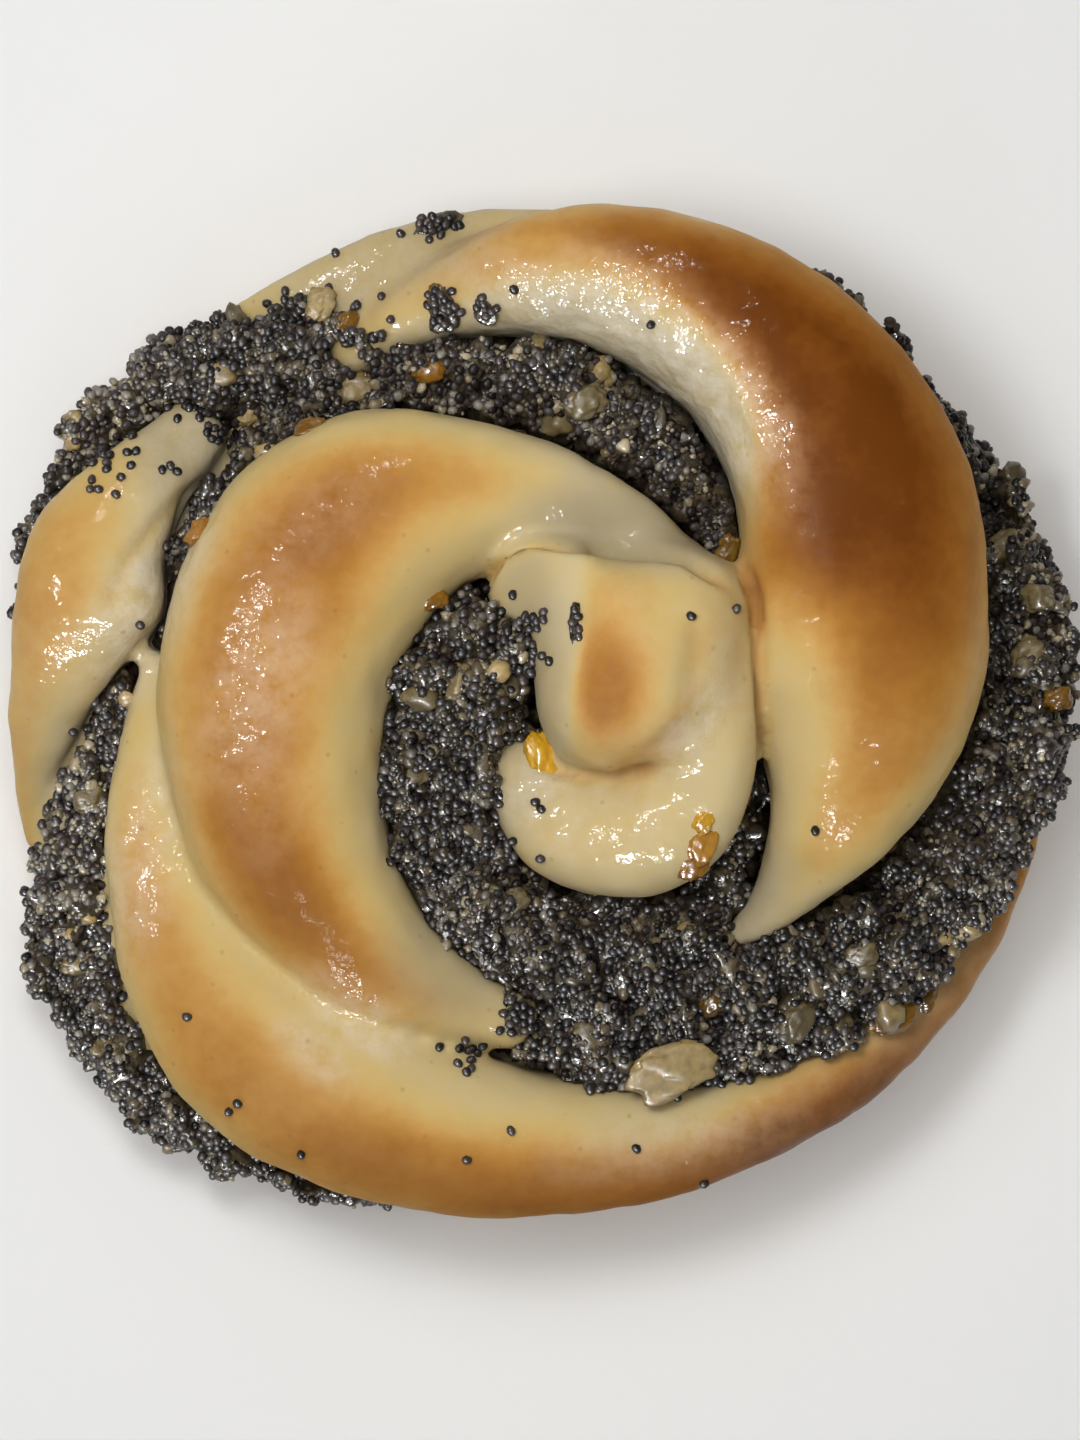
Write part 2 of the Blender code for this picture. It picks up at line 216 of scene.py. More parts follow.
# Dough: long crescents crossing a coiled rope, the inmost first.
# Each list runs along the crescent, in mm. brown is how far it has baked, brownAcross where the browned band
# lies from -1 at the inner edge to 1 at the outer, and brownSpread its half width.

wrap = {
    "first": 118, "last": -150, "sink": 17,
    "radius": (11, 9, 8.1, 7.2, 7.0, 8.3, 11.2, 13.2, 13.6, 12.6),
    "width": (6, 8, 9.2, 8.7, 8.4, 8.6, 11.1, 11.5, 11, 8),
    "crown": (36, 40.5, 42, 42, 41.5, 41.5, 40.8, 38.6, 36, 32),
    "brown": (0.05, 0.1, 0.16, 0.2, 0.14, 0.06, 0.04, 0.04, 0.02, 0.0),
    "brownAcross": (0, 0, 0.1, 0.1, 0, 0, 0, 0, 0, 0), "brownSpread": (0.8,) * 10,
}
innerLeft = {
    "first": -110, "last": -300, "sink": 17,
    "radius": (32.8, 34.9, 34.2, 32.5, 28.4, 20.3, 15, 13.2),
    "width": (5.4, 13.4, 19.7, 23, 21.6, 11.3, 5.5, 2.5),
    "crown": (29.5, 35.5, 40.2, 41, 40.4, 38.5, 36.5, 33),
    "brown": (0.1, 0.5, 0.68, 0.66, 0.56, 0.16, 0.05, 0.0),
    "brownAcross": (0.2, 0.25, 0.22, 0.1, 0.15, 0.0, 0, 0),
    "brownSpread": (0.7, 0.6, 0.6, 0.62, 0.55, 0.5, 0.5, 0.5),
}
upperRight = {
    "first": 131, "last": -69, "sink": 20,
    "radius": (41.8, 39.4, 33.6, 26.1, 21.6, 20.5, 21.5, 25),
    "width": (4.8, 11.9, 18.4, 25.6, 24.4, 20.2, 10, 2.5),
    "crown": (28, 37.5, 42, 43, 42.3, 40.4, 36.5, 27),
    "brown": (0.12, 0.56, 0.92, 1.0, 0.78, 0.48, 0.26, 0.05),
    "brownAcross": (0.3, 0.3, 0.26, 0.12, 0.3, 0.2, 0.1, 0),
    "brownSpread": (0.6, 0.62, 0.66, 0.9, 0.72, 0.6, 0.5, 0.5),
}
lower = {
    "first": 8, "last": -184, "sink": 18,
    "radius": (39.6, 40, 41, 41.8, 42.8, 45, 47.7, 47.5, 45.5),
    "width": (3, 4, 5, 7, 10.5, 15.5, 19, 10.5, 2.4),
    "crown": (11, 15, 20.5, 26, 30, 33, 34, 31.5, 25),
    "brown": (0.5, 0.56, 0.6, 0.66, 0.6, 0.5, 0.5, 0.34, 0.1),
    "brownAcross": (0.4, 0.5, 0.6, 0.65, 0.65, 0.5, 0.3, 0.3, 0.2),
    "brownSpread": (0.9, 0.9, 0.8, 0.7, 0.7, 0.7, 0.65, 0.6, 0.5),
}
left = {
    "first": -166, "last": -211, "sink": 18, "fat": 0.38,
    "radius": (60, 57.5, 54.4, 52.2, 52.4, 50.7, 48.8),
    "width": (2.5, 5.5, 9, 13.6, 12.6, 9, 6.5),
    "crown": (13, 21, 28, 31, 30, 28, 24),
    "brown": (0.3, 0.34, 0.42, 0.48, 0.36, 0.2, 0.05),
    "brownAcross": (0.5,) * 7, "brownSpread": (0.7,) * 7,
}
top = {
    "first": 146, "last": 84, "sink": 16, "fat": 0.36,
    "radius": (54.3, 49.8, 46.3, 44.6, 43.2, 42),
    "width": (2.5, 5, 7.3, 7, 5, 3),
    "crown": (17.5, 24, 27.5, 27.5, 25, 20),
    "brown": (0.1, 0.12, 0.14, 0.14, 0.12, 0.1),
    "brownAcross": (0.3,) * 6, "brownSpread": (0.9,) * 6,
}
crescents = {"wrap": wrap, "innerLeft": innerLeft, "upperRight": upperRight, "lower": lower,
             "left": left, "top": top}
bulb = {"x": 7.6, "y": 4.9, "long": 20.6, "wide": 16.6, "crown": 46, "sink": 22, "brown": 0.12}
shoulder = {"x": 11.8, "y": 8.0, "long": 17, "wide": 13.6, "crown": 44.6, "sink": 20, "brown": 0.12}
flank = {"x": 0.8, "y": 12.6, "long": 9, "wide": 11.4, "crown": 43.2, "sink": 18, "brown": 0.04}
lowBody = {
    "outline": (41.5, 41, 41.2, 43.5, 45.5, 48, 52, 57.5, 60, 61, 59.5, 54, 49.5, 46.3, 43.6, 41.8),
    "side": ((-5.0, 0.0), (-2.2, 1.4), (-0.6, 4.6), (0.0, 9.0), (-0.8, 13.5), (-3.8, 16.5), (-9.0, 18.0)),
    "flatShare": 0.2,  # share of the rows that the underside takes, and the top
    "swell": (0.5, 14.0),  # height and size of its unevenness
    "brown": 0.08,
}
crescentShape = {
    "tip": 0.04,  # share of its length in each rounded end
    "tipReach": 0.8,  # how far an end reaches, in half widths
    "mostRise": 11.0,  # height over its middle level
    "sink": (2.2, 3),  # depth below it, in half widths and mm
    "power": (0.85, 0.9),  # below 1 the section is squarer than an oval
    "swell": (0.5, 9.0),
}
bulbShape = {
    "rise": 11,  # height over its middle level
    "power": (0.85, 0.72, 0.82),  # below 1 it is squarer than a ball: in height, in its sides and in plan
    "lean": 1.0,  # how far its top leans to the right
    "ridge": (3.0, 0.07),  # where the ridge crosses y = 5 and how it slants
    "trim": (45.4, 1.5, 0.7),  # top at the ridge, slope to its left, softness of the edge
    "trimReach": (5.4, 5.0, 11.5, 13.5),  # middle of what is trimmed, and the distances where it fades
}
# Rows and columns of the grids that the forms are rolled from; a crescent's rows are rowStep mm apart.
formGrid = {"rowStep": 1.1, "tipRows": 12, "around": 44, "bulbRows": 22, "bodyRows": 40, "bodyAround": 144}
doughSkin = {
    "grain": 0.67,  # size of the skin's faces in mm
    "smoothing": 3,
    "unevenness": 0.24,  # soft rise and fall over 5 mm, in mm
    "blister": 0.1,  # height of the small blisters in the glaze, in mm
    "flatFoot": 1.5,  # below this the skin stays even, in mm
}


def tipShares(share, tip):
    # how far along its swept stretch a point lies, and how far out in the rounded end
    inner = min(max((share - tip) / (1 - 2 * tip), 0.0), 1.0)
    return inner, max(tip - share, share - 1 + tip, 0.0) / tip


def sweptAngle(spec, share, inner, reach):
    sweep = spec["last"] - spec["first"]
    return spec["first"] + sweep * inner + math.copysign(reach, sweep * (share - 0.5))


def sweptLength(spec):
    return abs(math.radians(spec["last"] - spec["first"])) * sum(spec["radius"]) / len(spec["radius"])


def crescentPoint(spec, share, turn, grow=0.0):
    inner, past = tipShares(share, crescentShape["tip"])
    radius = stationValue(spec["radius"], inner)
    half = max(stationValue(spec["width"], inner), 1.0) / 2
    rise = min(half * 2 * spec.get("fat", 0.5), crescentShape["mostRise"])
    sinkShare, sinkMore = crescentShape["sink"]
    sink = min(spec["sink"], half * sinkShare + sinkMore)
    level = stationValue(spec["crown"], inner) - rise
    shrink = math.sqrt(max(1 - past * past, 0.0))
    reach = math.degrees((half * crescentShape["tipReach"] + grow) / radius) * past
    angle = sweptAngle(spec, share, inner, reach)
    theta = 2 * math.pi * turn
    outPower, upPower = crescentShape["power"]
    out, up = power(math.cos(theta), outPower), power(math.sin(theta), upPower)
    tall = rise if up > 0 else sink
    high, size = crescentShape["swell"]
    soft = high * lump((*coilPlace(angle, radius + out * half), level + up * tall), size, 1)
    x, y = coilPlace(angle, radius + out * (half + grow + soft * 0.5) * shrink)
    return Vector((x, y, level - past + up * (tall + grow + soft) * shrink)) * mm


def bulbPoint(spec, share, turn, grow=0.0):
    rise, (levelPower, reachPower, planPower) = bulbShape["rise"], bulbShape["power"]
    level, reach = power(math.cos(math.pi * share), levelPower), math.sin(math.pi * share) ** reachPower
    theta = 2 * math.pi * turn
    tall = rise if level > 0 else spec["sink"] - rise
    up = power(math.sin(theta), planPower) * (spec["long"] / 2 + grow) * reach
    x = spec["x"] + power(math.cos(theta), planPower) * (spec["wide"] / 2 + grow) * reach
    x += bulbShape["lean"] * max(level, 0)
    return Vector((x, spec["y"] + up, spec["crown"] - rise + level * (tall + grow))) * mm


def bodyPoint(spec, share, turn):
    # the underside's middle is at share 0 and the top's middle at share 1
    ring = spec["outline"]
    angle = 360 * turn
    place = (turn % 1.0) * len(ring)
    i = int(place) % len(ring)
    outer = stationValue([ring[(i + k - 1) % len(ring)] for k in range(4)], (1 + place - int(place)) / 3)
    side, flat = spec["side"], spec["flatShare"]
    inner = (share - flat) / (1 - 2 * flat)
    if inner < 0:
        out, high = side[0]
        outer, out = (outer + out) * share / flat, 0
    elif inner > 1:
        out, high = side[-1]
        outer, out = (outer + out) * (1 - share) / flat, 0
    else:
        out = stationValue([s[0] for s in side], inner)
        high = max(stationValue([s[1] for s in side], inner), 0.0)
    rise, size = spec["swell"]
    swell = rise * lump((*coilPlace(angle, outer + out), high), size, 2) if 0 < inner < 1 else 0
    return Vector((*coilPlace(angle, outer + out + swell), high)) * mm


def doughForms(grow=0.0):
    # grow thickens them all round, in mm
    forms = []
    for name, spec in crescents.items():
        rows = round(sweptLength(spec) / formGrid["rowStep"]) + formGrid["tipRows"]
        forms.append((rolledGrid(name, rows, formGrid["around"],
                                 lambda s, t: crescentPoint(spec, s, t, grow)), spec))
    for name, spec in (("bulb", bulb), ("shoulder", shoulder), ("flank", flank)):
        forms.append((rolledGrid(name, formGrid["bulbRows"], formGrid["around"],
                                 lambda s, t: bulbPoint(spec, s, t, grow)), spec))
    return forms


# Soft patches laid over the bake, in mm: middle, half length, half width, turn, then what each adds to the
# browning, the sugary sparkle, the grey of wet translucent dough and the shine, and how soft its edge is.
# the sparkle also whitens the crust with a frost that is partly a painted sheen
patches = (
    (-1.0, 5.5, 9.0, 3.2, 92, -0.05, 0.0, 0.35, 0.0, 0.4),   # pale left side of the tucked-in end, greyed with painted shade
    (6.6, 4.0, 10.0, 8.0, 95, 0.0, 0.15, 0.0, -0.85, 0.4),   # its dry browned top
    (4.0, -9.0, 9.0, 4.5, -14, 0.04, 0.25, 0.05, 0.1, 0.6),
    (-1.5, -6.0, 4.0, 3.0, 40, 0.0, 0.6, 0.1, 0.5, 0.6),
    (13.5, 1.0, 6.0, 1.6, 60, 0.0, 0.5, 0.0, 0.3, 0.6),
    (16.5, -19.0, 7.0, 3.2, 40, -0.1, 0.3, 0.8, 0.3, 0.6),   # wet tip of the upper right crescent
    (6.0, 34.5, 14.0, 3.2, -28, -0.05, 1.0, 0.1, 0.2, 0.6),
    (-3.5, 36.0, 8.0, 3.0, 10, 0.0, 0.9, 0.2, 0.2, 0.6),
    (14.0, 27.0, 8.0, 2.6, -60, 0.0, 0.8, 0.0, 0.2, 0.6),
    (8.0, 17.5, 9.0, 3.4, -12, -0.1, 0.2, 0.75, 0.0, 0.5),   # thin tail over the bulb
    (-36.0, 12.0, 10.0, 4.0, 62, -0.06, 1.0, 0.1, 0.4, 0.6),
    (-17.0, -27.0, 6.0, 2.6, -40, 0.0, 0.9, 0.0, 0.2, 0.6),
    (-37.0, -13.0, 9.0, 3.0, 84, 0.0, 0.7, 0.0, 0.4, 0.6),
    (-25.0, -28.0, 16.0, 5.5, -48, 0.0, 0.0, 0.05, -0.4, 0.5),  # dull crest of the lower crescent
    (-21.0, -30.5, 4.0, 1.6, -40, 0.0, 1.0, 0.1, 0.5, 0.6),
    (12.0, -39.5, 10.0, 2.6, 8, 0.05, 0.7, 0.2, 0.2, 0.6),
    # browner outer flank of the lower crescent, partly painted shade where it turns away
    (26.0, -36.0, 10.0, 4.5, 28, 0.32, 0.25, 0.1, 0.0, 0.6),
    (38.0, -24.0, 9.0, 4.0, 52, 0.1, 0.4, 0.3, 0.0, 0.6),
    (-25.5, 3.0, 9.0, 4.2, 70, -0.16, 0.8, 0.0, 0.1, 0.6),   # rough patches on the inner left crescent; the first is painted paler, a painted highlight on the rough glaze
    (-24.5, -9.0, 5.0, 3.0, 80, -0.06, 0.4, 0.0, -0.2, 0.6),
    (-22.0, -14.5, 7.0, 3.5, 105, 0.02, 0.0, 0.0, 0.0, 0.6),
    (14.0, 36.0, 11.0, 2.2, -45, 0.0, 0.2, 0.0, 0.1, 0.6),
    (20.0, 25.0, 8.0, 2.4, -66, 0.0, 0.5, 0.0, 0.35, 0.6),
    (-20.5, 18.0, 8.0, 3.2, 32, 0.04, 0.4, 0.0, 0.0, 0.6),
    (13.0, 33.0, 12.0, 3.4, -45, -0.12, 1.0, 0.0, 0.6, 0.6),  # frosty rim inside the upper right crescent, painted paler: partly a painted sheen on its shaded slope
    (36.0, 25.0, 24.0, 8.0, -52, 0.0, 0.0, 0.0, -0.35, 0.4),  # its duller brown back
    (27.0, 4.0, 10.0, 4.5, 80, -0.03, 0.0, 0.0, -0.42, 0.5),
    (30.0, -9.0, 7.0, 4.0, 70, 0.05, 0.0, 0.0, -0.35, 0.6),
    (-30.0, -33.0, 16.0, 6.0, -45, 0.0, 0.0, 0.0, -0.5, 0.5),  # dull underneath of the lower crescent
    # browner, dull outer side beneath it, partly painted shade
    (-3.0, -42.5, 20.0, 5.0, -4, 0.1, 0.0, 0.0, -0.5, 0.5),
    (-20.0, -17.0, 12.0, 5.5, -55, 0.05, -0.1, 0.0, -0.4, 0.5),
    (-14.0, 43.0, 11.0, 4.0, 24, 0.0, 0.5, 0.45, 0.2, 0.6),
    (-33.0, 26.0, 6.0, 4.5, 50, -0.05, 0.5, 0.4, 0.2, 0.6),
    (14.2, -0.8, 4.5, 1.6, 50, 0.0, 1.0, 0.1, 0.5, 0.6),
    (17.6, 4.0, 8.0, 2.0, 100, 0.14, 0.2, 0.35, 0.0, 0.6),   # painted olive shade beside the crease, where the flank turns away
    (-8.0, -23.0, 6.5, 4.5, -38, 0.04, 0.2, 0.6, 0.1, 0.6),
    (-47.0, 4.0, 9.0, 3.0, 88, -0.1, 0.2, 0.0, 0.0, 0.6),
)


def ovalShare(points, x, y, long, wide, turn, soft):
    # 1 inside an oval seen from above, easing to 0 across its edge
    cosine, sine = math.cos(math.radians(turn)), math.sin(math.radians(turn))
    dx, dy = points[:, 0] / mm - x, points[:, 1] / mm - y
    away = np.sqrt(((dx * cosine + dy * sine) / long) ** 2 + ((dy * cosine - dx * sine) / wide) ** 2)
    return 1 - eased(away, 1 - soft, 1 + soft)


def bulbRidge(points):
    # how far a point lies to the right of the ridge down the tucked-in end, in mm
    place, slant = bulbShape["ridge"]
    return points[:, 0] / mm - place - slant * (points[:, 1] / mm - 5)


# The ridge in the glaze follows an arc along the upper right crescent, which is paler on its inner side: the
# arc's middle, where its edge falls off, and the distances and angles about the coil between which it lies.
glazeRidge = {"x": -3.0, "y": 22.0, "edge": (22.1, 22.9), "beyond": (19, 21), "from": (30, 60),
              "to": (100, 115)}


def insideRidge(points):
    x, y = points[:, 0] / mm, points[:, 1] / mm
    share = 1 - eased(np.hypot(x - glazeRidge["x"], y - glazeRidge["y"]), *glazeRidge["edge"])
    radius = np.hypot(x - coilMiddle[0], y - coilMiddle[1])
    angle = np.degrees(np.arctan2(y - coilMiddle[1], x - coilMiddle[0]))
    share *= eased(radius, *glazeRidge["beyond"])
    return share * eased(angle, *glazeRidge["from"]) * (1 - eased(angle, *glazeRidge["to"]))


# Browning and shine, from 0 to 1.
bakeLook = {
    "least": 0.08,
    "bandEdge": 3.2,  # how sharply a browned band ends
    "bandFoot": (-6, 2),  # it fades in between these heights about a crescent's middle level, in mm
    "side": (0.1, 0.45, 1 * mm, 20 * mm),  # the sides bake browner towards the tray
    "ridgePaler": 0.16,
    "toast": (38 * mm, -0.3, 0.9, 95, 0.8),  # lowest height, edge along the ridge, turn and softness
    "shine": 0.42,
    "crease": (0.3, 0.0, 0.2, -0.9),  # painted shade along the creases: browner and greyer there, and dry, without the shine
}
# The browned top of the tucked-in end, right of its ridge: middle, half length, half width and how brown.
bulbToast = ((5.6, 3.0, 4.6, 3.0, 0.3), (5.6, 5.0, 8.0, 4.0, 0.18), (7.4, 6.0, 9.5, 6.4, 0.14))


def paintPatches(points, paint):
    least, more, low, top = bakeLook["side"]
    paint[:, 0] = np.maximum(paint[:, 0], least + more * (1 - eased(points[:, 2], low, top)))
    for x, y, long, wide, turn, brown, sparkle, grey, shine, soft in patches:
        share = ovalShare(points, x, y, long, wide, turn, soft)
        paint += share[:, None] * np.array((brown, sparkle, grey, shine))
    paint[:, 0] -= bakeLook["ridgePaler"] * insideRidge(points)
    lowest, start, end, turn, soft = bakeLook["toast"]
    high = (points[:, 2] > lowest) * eased(bulbRidge(points), start, end)
    for x, y, long, wide, amount in bulbToast:
        paint[:, 0] += amount * ovalShare(points, x, y, long, wide, turn, soft) * high
    return paint


# Where the crease between two folds baked shut: middle, half length, half width, turn, rounds of smoothing.
healed = (
    (1.2, 8.5, 6.5, 4.0, 90, 60), (13.6, 8.5, 7.5, 4.2, 105, 50), (13.5, 14.0, 7.0, 3.5, -25, 40),
    (-14.5, 38.5, 9.0, 5.0, 45, 50), (13.2, -2.4, 3.5, 2.0, 35, 30),
)
healing = {"soft": 0.35, "lowest": 20 * mm}
# Creases where two folds meet: depth and half width in mm, then the places along it.
folds = (
    (1.1, 0.55, ((-6.3, 11.1), (-4.1, 14.1), (-0.7, 15.9), (3.4, 15.8), (7.6, 15.4), (13.0, 14.7),
                 (17.6, 11.7))),
    (0.9, 0.5, ((-0.6, -3.0), (1.0, -4.4), (3.5, -5.2), (6.5, -5.6), (9.5, -5.0), (12.0, -4.0))),
    (1.2, 0.5, ((17.6, 15.4), (18.6, 13.6), (19.4, 10.9), (19.9, 6.3), (20.1, 1.8), (20.4, -1.8),
                (20.6, -4.5))),
    (0.55, 1.5, ((13.4, 10.0), (14.2, 6.5), (14.0, 3.0), (12.9, 0.0), (11.0, -2.6), (8.4, -4.4),
                 (5.5, -5.2))),
    (-0.4, 0.7, ((3.6, 43.6), (8.9, 40.7), (14.3, 35.8), (17.9, 30.0), (20.1, 24.1))),  # ridge in the glaze
    (0.4, 0.9, ((-17.2, 36.2), (-14.9, 40.0), (-10.2, 43.2), (-1.9, 46.9))),
    (0.5, 0.8, ((-31.7, 23.3), (-35.0, 19.1), (-38.2, 14.9), (-40.5, 9.3))),
)
foldEnds = {"fade": 3, "lowest": 22 * mm}


def foldDepth(points):
    # how far each point is pressed in by the creases, in mm, fading towards their ends
    depth = np.zeros(len(points))
    for deep, wide, places in folds:
        best = np.full(len(points), 1e9)
        along = np.zeros(len(points))
        run = 0.0
        for a, b in zip(places, places[1:]):
            step = np.array((b[0] - a[0], b[1] - a[1]))
            length = math.hypot(*step)
            offset = points[:, :2] / mm - a
            t = np.clip(offset @ step / length ** 2, 0, 1)
            away = np.hypot(*(offset - t[:, None] * step).T)
            along = np.where(away < best, run + t * length, along)
            best = np.minimum(best, away)
            run += length
        fade = eased(along, 0, foldEnds["fade"]) * (1 - eased(along, run - foldEnds["fade"], run))
        depth += deep * fade * np.exp(-(best / wide) ** 2) * (points[:, 2] > foldEnds["lowest"])
    return depth


def healCreases(piece, points):
    for x, y, long, wide, turn, rounds in healed:
        share = ovalShare(points, x, y, long, wide, turn, healing["soft"])[:, None]
        share = share * (points[:, 2:] > healing["lowest"])
        for _ in range(rounds):
            points = points + share * (neighbourMean(piece, points, 1) - points)
    return points


def trimBulb(points):
    # the rope's end lies on its side: left of the ridge its top falls away as a slant with a soft edge
    top, slant, softness = bulbShape["trim"]
    limit = top * mm + bulbRidge(points) * slant * mm
    over = (points[:, 2] - limit) / (softness * mm)
    lowered = softness * mm * np.log1p(np.exp(np.clip(over, -30, 30)))
    x, y, start, end = bulbShape["trimReach"]
    near = 1 - eased(np.hypot(points[:, 0] / mm - x, points[:, 1] / mm - y), start, end)
    points[:, 2] -= lowered * near * (points[:, 2] > 30 * mm)
    return points


def makeDough():
    forms = doughForms()
    body = rolledGrid("lowBody", formGrid["bodyRows"], formGrid["bodyAround"],
                      lambda s, t: bodyPoint(lowBody, s, t))
    forms.append((body, lowBody))
    sources, browning = [], []
    for form, spec in forms:
        points = meshPoints(form)
        sources.append(points)
        if "radius" in spec:
            browning.append(crescentBrowning(form, spec))
        else:
            browning.append(np.full(len(points), spec["brown"]))
    sources, browning = np.concatenate(sources), np.concatenate(browning)
    skin = remeshed(joinPieces("glazedDough", [form for form, _ in forms]), doughSkin["grain"])
    tree = KDTree(len(sources))
    for i, point in enumerate(sources):
        tree.insert(point, i)
    tree.balance()
    points = healCreases(skin, trimBulb(meshPoints(skin).astype(float)))
    skin.data.vertices.foreach_set("co", points.ravel())
    paint = np.zeros((len(points), 4))
    paint[:, 3] = bakeLook["shine"]
    for i, point in enumerate(points):
        near = tree.find_n(point, 3)
        weights = [1 / (away + 0.2 * mm) for _, _, away in near]
        paint[i, 0] = sum(w * browning[j] for w, (_, j, _) in zip(weights, near)) / sum(weights)
    paint = neighbourMean(skin, paintPatches(points, paint), 3)
    depth = foldDepth(points)
    # painted shade: the creases get browner and greyer, and lose their shine
    paint += np.clip(depth, 0, 1)[:, None] * np.array(bakeLook["crease"])
    bm = bmesh.new()
    bm.from_mesh(skin.data)
    for _ in range(doughSkin["smoothing"]):
        bmesh.ops.smooth_vert(bm, verts=bm.verts, factor=0.5,
                              use_axis_x=True, use_axis_y=True, use_axis_z=True)
    bm.normal_update()
    for vert, (_, sparkle, _, _), fold in zip(bm.verts, paint, depth):
        at = vert.co / mm
        rise = doughSkin["unevenness"] * (lump(at, 5.0, 6) + 0.4 * lump(at, 2.2, 7))
        rise += doughSkin["blister"] * max(sparkle, 0.0) * lump(at, 1.3, 8)
        if at.z > doughSkin["flatFoot"]:
            vert.co += vert.normal * (rise - fold) * mm
    bm.to_mesh(skin.data)
    bm.free()
    layer = skin.data.color_attributes.new("bake", "FLOAT_COLOR", "POINT")
    layer.data.foreach_set("color", np.clip(paint, 0, 1).astype(np.float32).ravel())
    return skin


def crescentBrowning(form, spec):
    # the grid's shares were lost when it was rolled, so each point finds its own from its place
    sweep = spec["last"] - spec["first"]
    values = np.zeros(len(form.data.vertices))
    for i, vert in enumerate(form.data.vertices):
        x, y, z = vert.co / mm
        angle = math.degrees(math.atan2(y - coilMiddle[1], x - coilMiddle[0]))
        middle = (spec["first"] + spec["last"]) / 2
        angle += 360 * round((middle - angle) / 360)
        inner = min(max((angle - spec["first"]) / sweep, 0.0), 1.0)
        radius = math.hypot(x - coilMiddle[0], y - coilMiddle[1])
        half = max(stationValue(spec["width"], inner), 1.0) / 2
        across = (radius - stationValue(spec["radius"], inner)) / half
        level = stationValue(spec["crown"], inner) - min(half, crescentShape["mostRise"])
        away = (across - stationValue(spec["brownAcross"], inner)) / stationValue(spec["brownSpread"], inner)
        band = 1 / (1 + abs(away) ** bakeLook["bandEdge"]) * fall(z - level, *bakeLook["bandFoot"])
        values[i] = stationValue(spec["brown"], inner) * band + bakeLook["least"]
    return values


# Filling: runs of dark paste standing between the crescents.

fillingOne = {
    "first": -78, "last": 262,
    "radius": (24, 18, 15, 13, 12.5, 12.5, 13.8, 17, 22, 28, 34.5, 40.8, 44.8, 49.4, 58.8, 60.6, 55.2, 49.6),
    "width": (11, 7.5, 5.5, 5, 5, 5, 6.5, 8.5, 10, 10.5, 9.5, 7.5, 5, 6.8, 10.4, 8.4, 5, 1.6),
    "crown": (28, 28, 27.5, 27, 27, 29, 30.5, 31.5, 32.5, 32.5, 31.5, 28, 25.5, 23.5, 18.8, 16.2, 11.5, 5.5),
    "foot": (5, 5, 5, 5, 5, 5, 5, 5, 5, 5, 5, 5, 5, 6, 8, 8.5, 6, 2.6),
}
fillingTwo = {
    "first": 128, "last": 448,
    "radius": (12.6, 14.8, 15.8, 17.3, 19.4, 24.0, 28, 28.8, 29.6, 32.6, 34.8, 36.6, 38, 39.2, 40.6, 42.6,
               43.4),
    "width": (6, 11, 15, 16.5, 17.4, 14.7, 18, 21.5, 21, 15, 12, 11.8, 11, 8.5, 5, 5, 2),
    "crown": (30, 35.5, 37, 36, 34.2, 31, 28.6, 29.4, 29.5, 28.3, 27.3, 25.5, 22.5, 18.5, 16.5, 17, 16),
    "foot": (9, 7, 5, 5, 5, 5, 5, 5, 5, 5, 6, 7, 8, 8, 9, 11, 13.5),
}
fillingThree = {
    "first": 108, "last": 183,
    "radius": (37, 39.5, 48, 55.5, 59.5, 58.4),
    "width": (6, 10, 12, 9.5, 6, 2),
    "crown": (25, 29.5, 27, 21.5, 14, 7),
    "foot": (7, 7, 7, 8, 7, 4),
}
# section of a run: shares of its half width outwards and of its half height upwards
runSection = (
    (-0.75, -1.0), (0.75, -1.0), (1.0, 0.2), (0.9, 0.8), (0.48, 0.97),
    (0.0, 1.0), (-0.48, 0.97), (-0.9, 0.8), (-1.0, 0.2),
)
runGrid = {"rowStep": 1.2, "tipRows": 6, "around": 54}
runTip = 0.02  # share of a run's length in each rounded end
runSwells = ((2.4, 4.6, 3), (1.1, 2.6, 5))  # height, size, draw
pasteCore = {
    "grain": 0.56,  # size of the paste's faces in mm
    "setBack": 0.3,
    "rimSetBack": 1.2,  # more on the outer side, which leaves room for the seeds inside the roll's outline
    "rim": (34, 42),  # distances from the coil's middle between which it sets in
    "clumps": ((2.0, 3.8, 10), (1.2, 1.9, 11), (0.4, 0.8, 12)),  # height, size, draw
    "clefts": (2.4, 0.6),  # how narrow they are, and their depth as a share of each height
    "clear": 0.2,  # room left between the paste and the dough
    "roomGrain": 0.9,
}


def runPoint(spec, share, turn):
    inner, past = tipShares(share, runTip)
    radius = stationValue(spec["radius"], inner)
    half = max(stationValue(spec["width"], inner), 1.6) / 2
    crown, foot = stationValue(spec["crown"], inner), stationValue(spec["foot"], inner)
    middle, tall = (crown + foot) / 2, max((crown - foot) / 2, 1.2)
    shrink = math.sqrt(max(1 - past * past, 0.0))
    angle = sweptAngle(spec, share, inner, math.degrees(half * 0.8 / radius) * past)
    place = (turn % 1.0) * len(runSection)
    i = int(place) % len(runSection)
    a, b = runSection[i], runSection[(i + 1) % len(runSection)]
    out, up = (a[k] + (b[k] - a[k]) * (place - int(place)) for k in (0, 1))
    at = (*coilPlace(angle, radius + out * half), middle + up * tall)
    soft = sum(high * lump(at, size, seed) for high, size, seed in runSwells)
    x, y = coilPlace(angle, radius + out * (half + soft * 0.4) * shrink)
    return Vector((x, y, middle + up * (tall + (soft if up > 0 else 0)) * shrink)) * mm


def clumpRise(at):
    # round clumps with sharp clefts between them
    narrow, depth = pasteCore["clefts"]
    return sum(high * (min(narrow * abs(lump(at, size, seed)), 1) - depth)
               for high, size, seed in pasteCore["clumps"])


